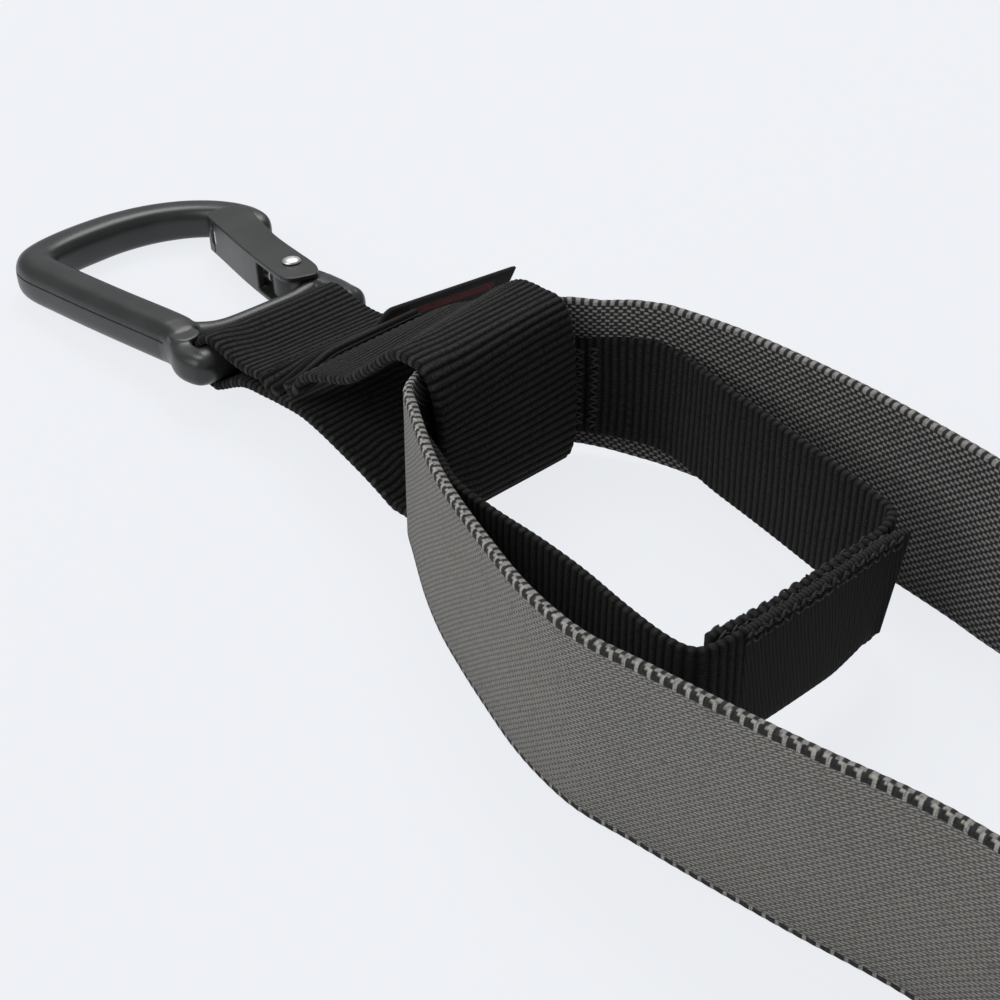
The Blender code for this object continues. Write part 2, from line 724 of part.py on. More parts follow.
def gate_fittings(parts, body):
    """Hinge rivet, latch pin, return spring and the plunger inside it."""
    _, along, inward, _ = gate_axes()
    half = GATE_HEIGHT / 2
    head = half + SEAT_GAP
    top = head + RIVET_HEAD_HEIGHT
    upper = [
        (rim_share * RIVET_HEAD_RADIUS, head + rise_share * RIVET_HEAD_HEIGHT)
        for rim_share, rise_share in RIVET_HEAD_SHARES
    ]
    lower = [(radius, -height) for radius, height in reversed(upper)]
    profile = [(0, top), *upper, (RIVET_RADIUS, head), (RIVET_RADIUS, -head), *lower, (0, -top)]
    rivet = turned("gate_rivet", profile, parts, BRIGHT_STEEL, body, sides=16)
    rivet.location = in_gate(0, 0)
    reach = half - GATE_SHEET + LATCH_PIN_SEAT - SEAT_GAP
    pin = cylinder(
        "gate_latch_pin", LATCH_PIN_RADIUS, -reach, reach, parts, BRIGHT_STEEL, body, sides=16
    )
    pin.location = in_gate(*latch_pin_place())
    axes = Matrix((inward, Vector((0, 0, 1)), along)).transposed().to_4x4()
    profile = [
        (0, PLUNGER_LENGTH), (PLUNGER_RADIUS, PLUNGER_LENGTH), (PLUNGER_RADIUS, PLUNGER_HEAD),
        (PLUNGER_HEAD_RADIUS, PLUNGER_HEAD), (PLUNGER_HEAD_RADIUS, 0), (0, 0),
    ]
    plunger = turned("gate_plunger", profile, parts, BRIGHT_STEEL, body, sides=12)
    beside = GATE_HALF_WIDTH - GATE_SHEET - SEAT_GAP - GATE_SPRING_RADIUS - GATE_SPRING_WIRE
    place = in_gate(HINGE_LOBE_RADIUS + SEAT_GAP, beside)
    plunger.matrix_local = Matrix.Translation(place) @ axes
    low = PLUNGER_HEAD + GATE_SPRING_WIRE + SEAT_GAP
    line = coil(GATE_SPRING_RADIUS, low, PLUNGER_LENGTH + GATE_SPRING_WIRE, GATE_SPRING_TURNS)
    spring = rod("gate_spring", line, GATE_SPRING_WIRE, parts, BRIGHT_STEEL, body, resolution=0)
    spring.matrix_local = Matrix.Translation(place) @ axes


def carabiner(parts, cutters):
    place = Matrix.Translation((*EYE_BAR_PLACE, EYE_BAR_HEIGHT))
    turn = Matrix.Rotation(ANCHOR_HEADING, 4, "Z") @ Matrix.Rotation(-CARABINER_TILT, 4, "Y")
    body = frame_empty("carabiner_axes", place @ turn, parts)
    carabiner_frame(parts, cutters, body)
    carabiner_gate(parts, cutters, body)
    gate_fittings(parts, body)


# Anchor webbing and its label tab

def anchor_point(along, height, sideways=0.0):
    """A point of the anchor loop: along it from the eye bar, up, and across its width."""
    return Vector((
        EYE_BAR_PLACE[0] + along * cos(ANCHOR_HEADING) - sideways * sin(ANCHOR_HEADING),
        EYE_BAR_PLACE[1] + along * sin(ANCHOR_HEADING) + sideways * cos(ANCHOR_HEADING),
        height,
    ))


def anchor_line():
    """Side view of the loop from one raised lip round the eye bar and the strap to the other."""
    half = ANCHOR_THICK / 2
    first = SEAM_PLACE - LIP_SPACING / 2
    second = SEAM_PLACE + LIP_SPACING / 2
    line = [(first, EYE_LIP_BASE + EYE_LIP_HEIGHT)]
    line += arc((first - LIP_BEND, EYE_LIP_BASE + LIP_BEND), LIP_BEND, 0, -pi / 2, 3)
    line += [
        (share * ANCHOR_LENGTH, rise * ANCHOR_HEIGHT)
        for share, rise in reversed(ANCHOR_UPPER_SHARES)
    ]
    wrap = EYE_BAR_RADIUS + SEAT_GAP + half
    line += arc((0.0, EYE_BAR_HEIGHT), wrap, radians(75.0), radians(285.0), 14)
    line += [(s * ANCHOR_LENGTH, h * ANCHOR_HEIGHT) for s, h in ANCHOR_LOWER_SHARES]
    line += [(share * ANCHOR_LENGTH, half) for share in ANCHOR_FLAT_SHARES]
    line += [(s * ANCHOR_LENGTH, h * ANCHOR_HEIGHT) for s, h in ANCHOR_FACE_SHARES]
    line += arc((second + LIP_BEND, LOOP_LIP_BASE + LIP_BEND), LIP_BEND, -pi / 2, -pi, 3)
    line += [(second, LOOP_LIP_BASE + LOOP_LIP_HEIGHT)]
    return line


def anchor_webbing(parts):
    """The loop as one strip, kept above the floor."""
    line = smooth([Vector((along, height, 0.0)) for along, height in anchor_line()], 2)
    floor = ANCHOR_THICK / 2
    centres = [anchor_point(point.x, max(point.y, floor)) for point in line]
    across = anchor_point(0, 0, ANCHOR_WIDTH / 2) - anchor_point(0, 0)
    webbing("anchor_loop", centres, across, ANCHOR_THICK, parts, BLACK_WEBBING)


def label_tab(parts):
    """A flat tab that stands in the seam and droops a little beyond the webbing."""
    low, high = TAB_TOP - TAB_HEIGHT, TAB_TOP
    outline = [
        (TAB_START, low), (TAB_END - TAB_SLANT, low - TAB_DROOP), (TAB_END, high - TAB_DROOP),
        (TAB_START, high),
    ]
    tab = plate("label_tab", [outline], -TAB_THICK / 2, TAB_THICK / 2, parts, LABEL_CLOTH)
    across = Vector((-sin(ANCHOR_HEADING), cos(ANCHOR_HEADING), 0.0))
    up = Vector((0.0, 0.0, 1.0))
    axes = Matrix((across, up, across.cross(up))).transposed().to_4x4()
    tab.data.transform(Matrix.Translation(anchor_point(SEAM_PLACE, 0.0)) @ axes)


# Main strap, locking loop and hanks

def leg_line(shares, side):
    """Lower edge of one leg from the bend to where its hank starts."""
    points = [(x * LEG_LENGTH, y * LEG_SPREAD, lift * STRAP_LIFT) for x, y, lift in shares]
    return smooth([(0.0, 0.0, STRAP_LIFT), *points], 2)


def main_hank(side):
    """The folded stock of main strap on one side, round the buckle's rear bar and back."""
    rear = REAR_BAR_RADIUS + SEAT_GAP + STRAP_THICK / 2
    route = Route(LEG_LENGTH, LEG_SPREAD, 0.0, side)
    route.forward(HANK_LEAD)
    route.turn(pi / 2, HANK_ENTRY_RADIUS, FOLD_STEPS // 2)
    route.forward_to(HANK_OUTER)
    way = -1
    for _ in range(MAIN_FOLDS):
        route.turn(way * pi, FOLD_RADIUS, FOLD_STEPS)
        way = -way
        route.forward(HANK_OUTER - HANK_INNER)
    route.points[-1].z = BUCKLE_LIFT / 2
    route.height = BUCKLE_LIFT / 2
    route.turn(-pi, BUCKLE_FOLD_RADIUS, FOLD_STEPS)
    route.forward_to(SLEEVE_PLACE + SLEEVE_LENGTH / 2, BUCKLE_LIFT / 2)
    route.forward_to(BUCKLE_PLACE + REAR_BAR_PLACE)
    lean = radians(16.0)
    route.turn(pi + lean, rear, FOLD_STEPS + 2)
    drop = 2 * rear - STRAP_THICK - SEAT_GAP
    route.forward(drop / sin(lean) - rear * tan(lean / 2))
    route.turn(-lean, rear, 2)
    route.forward(SEWN_RETURN - drop / tan(lean))
    return route.points


def buckle_column():
    """X of the main strap's last run, which leads into the buckle."""
    first = LEG_LENGTH + HANK_LEAD + HANK_ENTRY_RADIUS
    return first + 2 * MAIN_FOLDS * FOLD_RADIUS + 2 * BUCKLE_FOLD_RADIUS


def strap_to_base():
    """Distance from the main strap's last run to the upper side of the buckle's base plate."""
    return REAR_BAR_HEIGHT + REAR_BAR_RADIUS + SEAT_GAP + STRAP_THICK / 2


def take_up_line(side):
    """The handle's own strap from the sleeve through the buckle and its hank to the handle."""
    column = buckle_column()
    beside = STRAP_THICK + SLEEVE_SLACK + SLEEVE_WALL + SEAT_GAP
    under = strap_to_base() - STRAP_THICK / 2 - SEAT_GAP
    start = SLEEVE_PLACE + SLEEVE_LENGTH / 2
    route = Route(column + beside, start, -pi / 2, side, BUCKLE_LIFT)
    route.forward(SLEEVE_LENGTH)
    lean = radians(20.0)
    route.turn(lean, FOLD_RADIUS, 2)
    route.forward((under - beside - 2 * FOLD_RADIUS * (1 - cos(lean))) / sin(lean))
    route.turn(-lean, FOLD_RADIUS, 2)
    route.forward_to(BUCKLE_PLACE - LEVER_LENGTH)
    route.forward_to(HANK_INNER, -BUCKLE_LIFT)
    route.turn(pi, TAKE_UP_FOLD_RADIUS, FOLD_STEPS)
    route.forward(HANK_OUTER - HANK_INNER)
    way = -1
    for fold in range(TAKE_UP_FOLDS):
        route.turn(way * pi, FOLD_RADIUS, FOLD_STEPS)
        way = -way
        if fold < TAKE_UP_FOLDS - 1:
            route.forward(HANK_OUTER - HANK_INNER)
    route.forward_to(HANDLE_PLACE + HANK_ENTRY_RADIUS)
    route.turn(pi / 2, HANK_ENTRY_RADIUS, FOLD_STEPS // 2)
    route.forward(SEWN_JOINT)
    return route.points


def main_strap(parts):
    near = leg_line(NEAR_LEG_SHARES, -1) + main_hank(-1)[1:]
    far = leg_line(FAR_LEG_SHARES, 1) + main_hank(1)[1:]
    line = list(reversed(near)) + far[1:]
    half = Vector((0, 0, STRAP_WIDTH / 2))
    webbing("main_strap", on_edge(line, STRAP_WIDTH), half, STRAP_THICK, parts, GREY_WEBBING)


def seam_line():
    """Locking loop where it is sewn inside the bend: the main strap's own line, set in."""
    near = leg_line(NEAR_LEG_SHARES, -1)
    far = leg_line(FAR_LEG_SHARES, 1)
    strap = list(reversed(near)) + far[1:]
    inset = STRAP_THICK / 2 + SEAT_GAP + LOCK_THICK / 2
    points = []
    for before, here, after in zip(strap, strap[1:], strap[2:]):
        if here.x < LOCK_SEAM:
            way = (after - before).normalized()
            points.append((here.x + inset * way.y, here.y - inset * way.x, LOCK_RAISE))
    return points


def locking_loop(parts):
    far = [(x * LOCK_LENGTH, y * LOCK_SPREAD, LOCK_RAISE) for x, y in LOCK_FAR_SHARES]
    near = [(x * LOCK_LENGTH, y * LOCK_SPREAD, LOCK_RAISE) for x, y in LOCK_NEAR_SHARES]
    line = far + list(reversed(seam_line())) + near
    line = on_edge(smooth(line, 2), LOCK_WIDTH)
    half = Vector((0, 0, LOCK_WIDTH / 2))
    webbing("locking_loop", line, half, LOCK_THICK, parts, BLACK_WEBBING)


# Cam buckle, drawn with x in the direction of the load, y up from the base plate and z
# along the cam's pin

def buckle_matrix(side):
    base = buckle_column() + strap_to_base()
    load = Vector((0, -side, 0))
    up = Vector((-1, 0, 0))
    axes = Matrix((load, up, load.cross(up))).transposed().to_4x4()
    place = Vector((base, side * BUCKLE_PLACE, BUCKLE_LIFT + STRAP_WIDTH / 2))
    return Matrix.Translation(place) @ axes


def cheek_outline():
    """Side of the buckle: a low plate with rounded upper corners."""
    radius = BUCKLE_CORNER
    low = -BUCKLE_PLATE
    front = arc((BUCKLE_FRONT - radius, CHEEK_HEIGHT - radius), radius, 0, pi / 2, 5)
    back = arc((-BUCKLE_BACK + radius, CHEEK_HEIGHT - radius), radius, pi / 2, pi, 5)
    return [(BUCKLE_FRONT, low), *front, *back, (-BUCKLE_BACK, low)]


def buckle_body(name, parts, cutters, body):
    """A folded channel with a base plate and two cheeks."""
    outside = BUCKLE_INSIDE / 2 + BUCKLE_PLATE
    shell = plate(name, [cheek_outline()], -outside, outside, parts, BLACK_METAL, body)
    inside = BUCKLE_INSIDE / 2
    room = block(
        name + "_channel",
        (-BUCKLE_BACK - CUT_OVERRUN, 0, -inside),
        (BUCKLE_FRONT + CUT_OVERRUN, CHEEK_HEIGHT + CUT_OVERRUN, inside),
        cutters,
        None,
        body,
    )
    cut(shell, room)
    for hole, radius, x, y in (
        ("_cam_hole", CAM_PIN_RADIUS, 0, CAM_AXIS_HEIGHT),
        ("_bar_hole", REAR_BAR_RADIUS, -REAR_BAR_PLACE, REAR_BAR_HEIGHT),
    ):
        drill = cylinder(
            name + hole, radius + SEAT_GAP, -outside - CUT_OVERRUN, outside + CUT_OVERRUN,
            cutters, None, body, sides=20,
        )
        drill.location = (x, y, 0)
        cut(shell, drill)


def headed_pin(name, radius, parts, body, x, y):
    """A plain pin with a flat head outside each cheek."""
    outside = BUCKLE_INSIDE / 2 + BUCKLE_PLATE + SEAT_GAP
    end = outside + CAM_PIN_HEAD_THICK
    head = radius + CAM_PIN_HEAD - CAM_PIN_RADIUS
    face = PIN_FACE_SHARE * head
    chamfer = PIN_CHAMFER_SHARE * CAM_PIN_HEAD_THICK
    profile = [
        (0, end), (face, end), (head, end - chamfer), (head, outside), (radius, outside),
        (radius, -outside), (head, -outside), (head, chamfer - end), (face, -end), (0, -end),
    ]
    pin = turned(name, profile, parts, BRIGHT_STEEL, body, sides=12)
    pin.location = (x, y, 0)


def cam_outline():
    """Cam seen along its pin: a toothed jaw below, a smooth back and the thumb lever."""
    points = []
    first = -pi / 2 - CAM_TOOTH_PITCH * CAM_TEETH / 2
    for tooth in range(CAM_TEETH):
        angle = first + CAM_TOOTH_PITCH * tooth
        crest = CAM_RADIUS
        root = CAM_RADIUS - CAM_TOOTH
        points.append((root * cos(angle), root * sin(angle)))
        angle += TOOTH_CREST_SHARE * CAM_TOOTH_PITCH
        points.append((crest * cos(angle), crest * sin(angle)))
    under = -LEVER_THICK / 2
    root, bend = LEVER_ROOT_SHARE * CAM_RADIUS, LEVER_BEND_SHARE * LEVER_LENGTH
    for along, rise in ((root, 0), (bend, 0), (LEVER_LENGTH, LEVER_LIP)):
        points.append(lever_point(along, under + rise))
    for along, rise in ((LEVER_LENGTH, LEVER_LIP), (bend, 0), (root, 0)):
        points.append(lever_point(along, LEVER_THICK / 2 + rise))
    points += arc((0, 0), CAM_BACK_SHARE * CAM_RADIUS, radians(70.0), radians(205.0), 8)
    return points


def lever_point(along, across):
    """A point of the thumb lever in the cam's axes."""
    return (
        along * cos(LEVER_SLOPE) - across * sin(LEVER_SLOPE),
        along * sin(LEVER_SLOPE) + across * cos(LEVER_SLOPE) + LEVER_RISE,
    )


def cam_lever(name, parts, cutters, body):
    half = BUCKLE_INSIDE / 2 - RUNNING_GAP
    bore = arc((0, 0), CAM_PIN_RADIUS + RUNNING_GAP, 0, 2 * pi, 20)[:-1]
    cam = plate(name, [cam_outline(), bore], -half, half, parts, BLACK_METAL, body)
    cam.location = (0, CAM_AXIS_HEIGHT, 0)
    pocket = cylinder(
        name + "_pocket", CAM_SPRING_RADIUS + CAM_SPRING_WIRE + RUNNING_GAP,
        half - CAM_SPRING_POCKET, half + CUT_OVERRUN, cutters, None, body, sides=20,
    )
    pocket.location = (0, CAM_AXIS_HEIGHT, 0)
    cut(cam, pocket)


def cam_spring(name, parts, body):
    """A torsion spring round the pin, in the pocket at one end of the cam."""
    low = BUCKLE_INSIDE / 2 - CAM_SPRING_POCKET + CAM_SPRING_WIRE
    high = BUCKLE_INSIDE / 2 - RUNNING_GAP - CAM_SPRING_WIRE
    line = coil(CAM_SPRING_RADIUS, low, high, CAM_SPRING_TURNS)
    spring = rod(name, line, CAM_SPRING_WIRE, parts, BRIGHT_STEEL, body, resolution=0)
    spring.location = (0, CAM_AXIS_HEIGHT, 0)


def adjust_tab(name, side, parts, cutters):
    """A sleeve round the main strap with a pull flap, on the handle strap's free end."""
    inner = STRAP_THICK / 2 + SLEEVE_SLACK
    outer = inner + SLEEVE_WALL
    tall_inner = STRAP_WIDTH / 2 + SLEEVE_SLACK
    tall_outer = tall_inner + SLEEVE_WALL
    low = side * SLEEVE_PLACE - SLEEVE_LENGTH / 2
    high = side * SLEEVE_PLACE + SLEEVE_LENGTH / 2
    column = buckle_column()
    middle = BUCKLE_LIFT + STRAP_WIDTH / 2
    sleeve = block(
        name, (column - outer, low, middle - tall_outer), (column + outer, high, middle + tall_outer),
        parts, BLACK_WEBBING,
    )
    passage = block(
        name + "_passage",
        (column - inner, low - CUT_OVERRUN, middle - tall_inner),
        (column + inner, high + CUT_OVERRUN, middle + tall_inner),
        cutters,
    )
    cut(sleeve, passage)
    flap = block(
        name + "_flap",
        (column - outer - PULL_THICK, low, middle - PULL_WIDTH / 2),
        (column - outer + SLEEVE_WALL / 2, high, middle + PULL_WIDTH / 2),
        cutters,
    )
    add(sleeve, flap)


# Handle

def handle_start():
    """X where the handle strap's sewn end stops."""
    folds = 2 * TAKE_UP_FOLD_RADIUS + 2 * TAKE_UP_FOLDS * FOLD_RADIUS + HANK_ENTRY_RADIUS
    under = strap_to_base() - STRAP_THICK / 2 - SEAT_GAP
    return buckle_column() + under + folds + SEWN_JOINT


def corner_half():
    """Half the straight stretch of handle webbing that runs through the grip."""
    return TUBE_LENGTH / 2 + CAP_FLANGE + CORNER_MARGIN


def handle_drop():
    """Distance from the sewn end of the strap to the grip's axis."""
    beside = STRAP_THICK / 2 + SEAT_GAP + HANDLE_WEB_THICK / 2
    turn = pi / 2 + HANDLE_ANGLE
    corner_x = CORNER_RADIUS * (1 - cos(turn))
    corner_y = CORNER_RADIUS * sin(turn)
    bend = CORNER_RADIUS * tan(HANDLE_ANGLE / 2)
    reach = (corner_half() + corner_y - beside) / tan(HANDLE_ANGLE)
    return reach + corner_x + bend


def handle_half(sign):
    """One half of the handle webbing in plan, from its sewn end to the middle of the grip."""
    beside = STRAP_THICK / 2 + SEAT_GAP + HANDLE_WEB_THICK / 2
    turn = pi / 2 + HANDLE_ANGLE
    route = Route(-SEWN_JOINT, beside, 0.0, sign)
    route.forward(SEWN_JOINT)
    route.turn(HANDLE_ANGLE, CORNER_RADIUS, 3)
    slant = corner_half() + CORNER_RADIUS * sin(turn) - route.outward
    route.forward(slant / sin(HANDLE_ANGLE))
    route.turn(-turn, CORNER_RADIUS, HANDLE_STEPS)
    route.forward_to(0.0)
    return route


def cradle_half(sign):
    """One half of the foot cradle in plan, from its seam on the handle webbing."""
    beside = STRAP_THICK / 2 + SEAT_GAP + HANDLE_WEB_THICK / 2
    turn = pi / 2 + HANDLE_ANGLE
    guide = Route(0.0, beside, 0.0, sign)
    guide.turn(HANDLE_ANGLE, CORNER_RADIUS, 3)
    slant = corner_half() + CORNER_RADIUS * sin(turn) - guide.outward
    guide.forward(slant / sin(HANDLE_ANGLE) - CRADLE_SEAM)
    step = HANDLE_WEB_THICK + SEAT_GAP
    route = Route(
        guide.x - step * sin(HANDLE_ANGLE), guide.outward + step * cos(HANDLE_ANGLE),
        HANDLE_ANGLE, sign,
    )
    route.forward(CRADLE_SEAM)
    route.turn(-HANDLE_ANGLE, CORNER_RADIUS + step, 4)
    route.forward(handle_drop() + CRADLE_DEPTH - CRADLE_RADIUS - route.x)
    route.turn(-pi / 2, CRADLE_RADIUS, HANDLE_STEPS)
    route.forward_to(0.0)
    return route


def loop_from_halves(half, side, width, raise_low):
    """Centre points of a whole loop, moved from the handle's axes to its place."""
    first = half(1).points
    second = half(-1).points
    line = first + list(reversed(second))[1:]
    start = Vector((handle_start(), side * HANDLE_PLACE, raise_low))
    return on_edge([point + start for point in line], width)


def handle(word, side, parts, cutters):
    raise_low = FOAM_RADIUS - HANDLE_WEB_WIDTH / 2
    half = Vector((0, 0, HANDLE_WEB_WIDTH / 2))
    for name, shape in (("handle_webbing_", handle_half), ("foot_cradle_", cradle_half)):
        line = loop_from_halves(shape, side, HANDLE_WEB_WIDTH, raise_low)
        webbing(name + word, line, half, HANDLE_WEB_THICK, parts, BLACK_WEBBING)
    centre = (handle_start() + handle_drop(), side * HANDLE_PLACE, FOAM_RADIUS)
    axis = frame_empty("grip_axis_" + word, Matrix.Translation(centre), parts)
    end = TUBE_LENGTH / 2
    bore = TUBE_RADIUS - TUBE_WALL
    turned(
        "grip_tube_" + word,
        [(bore, end), (TUBE_RADIUS, end), (TUBE_RADIUS, -end), (bore, -end)],
        parts, TUBE_PLASTIC, axis, axis="Y",
    )
    foam_end = end - CAP_SLEEVE - SEAT_GAP
    inside = TUBE_RADIUS + SEAT_GAP
    edge = FOAM_EDGE
    shoulder = FOAM_SHOULDER_SHARE * FOAM_EDGE
    turned(
        "foam_grip_" + word,
        [
            (inside, foam_end), (FOAM_RADIUS - edge, foam_end),
            (FOAM_RADIUS - shoulder, foam_end - shoulder), (FOAM_RADIUS, foam_end - edge),
            (FOAM_RADIUS, edge - foam_end), (FOAM_RADIUS - shoulder, shoulder - foam_end),
            (FOAM_RADIUS - edge, -foam_end), (inside, -foam_end),
        ],
        parts, FOAM, axis, axis="Y",
    )
    for place, way in (("inner", -side), ("outer", side)):
        cap = turned(
            "grip_cap_" + place + "_" + word,
            [
                (bore, end + CAP_FLANGE), (CAP_FACE_SHARE * CAP_RADIUS, end + CAP_FLANGE),
                (CAP_RADIUS, end + CAP_CHAMFER_SHARE * CAP_FLANGE), (CAP_RADIUS, end - CAP_SLEEVE),
                (inside, end - CAP_SLEEVE), (inside, end + SEAT_GAP), (bore, end + SEAT_GAP),
            ],
            parts, RUBBER, axis, axis="Y",
        )
        if way < 0:
            cap.rotation_euler = (pi / 2, 0, 0)


def side_set(word, side, parts, cutters):
    body = frame_empty("buckle_axes_" + word, buckle_matrix(side), parts)
    buckle_body("buckle_body_" + word, parts, cutters, body)
    headed_pin("cam_pin_" + word, CAM_PIN_RADIUS, parts, body, 0, CAM_AXIS_HEIGHT)
    headed_pin(
        "buckle_bar_" + word, REAR_BAR_RADIUS, parts, body, -REAR_BAR_PLACE, REAR_BAR_HEIGHT
    )
    cam_lever("cam_lever_" + word, parts, cutters, body)
    cam_spring("cam_spring_" + word, parts, body)
    half = Vector((0, 0, STRAP_WIDTH / 2))
    line = on_edge(take_up_line(side), STRAP_WIDTH)
    webbing("handle_strap_" + word, line, half, STRAP_THICK, parts, BLACK_WEBBING)
    adjust_tab("adjust_tab_" + word, side, parts, cutters)
    handle(word, side, parts, cutters)


def main():
    clear_scene()
    parts = new_collection("suspension_trainer")
    cutters = new_collection("cutters")
    carabiner(parts, cutters)
    anchor_webbing(parts)
    label_tab(parts)
    main_strap(parts)
    locking_loop(parts)
    for word, side in (("near", -1), ("far", 1)):
        side_set(word, side, parts, cutters)
    bpy.context.view_layer.update()


main()
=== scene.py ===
"""Looks of a webbing suspension trainer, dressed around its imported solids.

Metres, +Z up. +X runs from the carabiner to the handles, and the near side is -Y. Lengths in
webbing patterns are in millimetres along the strap, across it, and a third value that is +1 on
one face and -1 on the other.
"""

import json
import logging
import math
import random
from collections.abc import Callable
from dataclasses import dataclass, field
from enum import Enum
from functools import cache

import bmesh
import bpy
from mathutils import Matrix, Vector

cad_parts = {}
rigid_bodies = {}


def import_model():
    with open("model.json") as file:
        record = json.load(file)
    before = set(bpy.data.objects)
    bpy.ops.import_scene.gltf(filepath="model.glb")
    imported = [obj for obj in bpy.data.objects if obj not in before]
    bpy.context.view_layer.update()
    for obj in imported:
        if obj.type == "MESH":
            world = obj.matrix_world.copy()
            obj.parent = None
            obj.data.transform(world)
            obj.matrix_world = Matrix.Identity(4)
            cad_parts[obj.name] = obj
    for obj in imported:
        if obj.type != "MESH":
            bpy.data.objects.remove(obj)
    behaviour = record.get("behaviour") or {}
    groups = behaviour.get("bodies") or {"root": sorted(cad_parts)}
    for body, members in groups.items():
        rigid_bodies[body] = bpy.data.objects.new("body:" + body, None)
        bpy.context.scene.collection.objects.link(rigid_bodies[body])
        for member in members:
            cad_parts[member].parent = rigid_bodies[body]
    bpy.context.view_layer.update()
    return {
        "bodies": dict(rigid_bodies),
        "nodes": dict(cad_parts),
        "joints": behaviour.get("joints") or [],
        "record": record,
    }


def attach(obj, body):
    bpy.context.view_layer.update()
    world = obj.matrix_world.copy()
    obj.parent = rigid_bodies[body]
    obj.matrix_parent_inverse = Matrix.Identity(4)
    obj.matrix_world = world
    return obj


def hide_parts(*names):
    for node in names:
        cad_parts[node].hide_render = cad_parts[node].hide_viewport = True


LOG = logging.getLogger("suspension_trainer")
MM = 0.001
MERGE = 0.00001
STRIP = "strip"
DRAW_EVERY = 6  # samples of a strip for each number drawn ahead of its three phases


class Side(Enum):
    """The two sides of the trainer, as the sign of Y."""

    NEAR = -1
    FAR = 1

    @property
    def word(self) -> str:
        """Ending of the names on this side."""
        return self.name.lower()


# ---------------------------------------------------------------------------------------------
# Shader building blocks


class Shader:
    """Short ways to place and join shader nodes in one tree."""

    def __init__(self, tree: bpy.types.NodeTree) -> None:
        """Work in the given tree."""
        self.tree = tree

    def fill(self, node: bpy.types.Node, sockets: dict) -> None:
        """Link or set a node's inputs, given by name or number."""
        for name, value in sockets.items():
            if isinstance(value, bpy.types.NodeSocket):
                self.tree.links.new(value, node.inputs[name])
            else:
                node.inputs[name].default_value = value

    def node(self, kind: str, sockets: dict | None = None, **settings) -> bpy.types.Node:
        """Place a node.

        Args:
            kind: Node type without the ShaderNode prefix.
            sockets: Values or sockets for its inputs, by name or number.
            settings: Properties of the node.

        Returns:
            The new node.
        """
        made = self.tree.nodes.new("ShaderNode" + kind)
        for name, value in settings.items():
            setattr(made, name, value)
        self.fill(made, sockets or {})
        return made

    def math(self, operation: str, first, second=0.0, third=0.0) -> bpy.types.NodeSocket:
        """One step of arithmetic on values or sockets."""
        made = self.node("Math", {0: first, 1: second, 2: third}, operation=operation)
        return made.outputs[0]

    def mix(self, factor, first, second) -> bpy.types.NodeSocket:
        """Blend two colours by a factor."""
        return self.node("Mix", {0: factor, 6: first, 7: second}, data_type="RGBA").outputs[2]

    def ramp(self, value, low: float, high: float) -> bpy.types.NodeSocket:
        """Rise smoothly from 0 to 1 as a value goes from low to high."""
        made = self.node("MapRange", {"Value": value, "From Min": low, "From Max": high},
                         interpolation_type="SMOOTHSTEP")
        return made.outputs[0]

    def effect(self, group: bpy.types.NodeTree, sockets: dict) -> bpy.types.Node:
        """Place a shared group with values of its own."""
        return self.node("Group", sockets, node_tree=group)

    def place(self) -> bpy.types.NodeSocket:
        """Coordinates fixed to the piece."""
        return self.node("TexCoord").outputs["Object"]

    def strip(self) -> bpy.types.NodeSocket:
        """Coordinates along and across a webbing, in millimetres."""
        return self.node("Attribute", attribute_name=STRIP).outputs["Vector"]

    def wear(self, **scales: float) -> bpy.types.Node:
        """The shared wear, with its own scales where given."""
        sockets = {name.replace("_", " ").title(): scale for name, scale in scales.items()}
        return self.effect(Effects.wear(), {"Place": self.place(), **sockets})

    def bump(self, height, depth: float) -> bpy.types.NodeSocket:
        """A normal raised by a height in metres times a depth."""
        made = self.node("Bump", {"Height": height, "Strength": 1.0, "Distance": depth})
        return made.outputs[0]


def colour(red: float, green: float, blue: float) -> tuple[float, float, float, float]:
    """A linear colour with full alpha."""
    return (red, green, blue, 1.0)


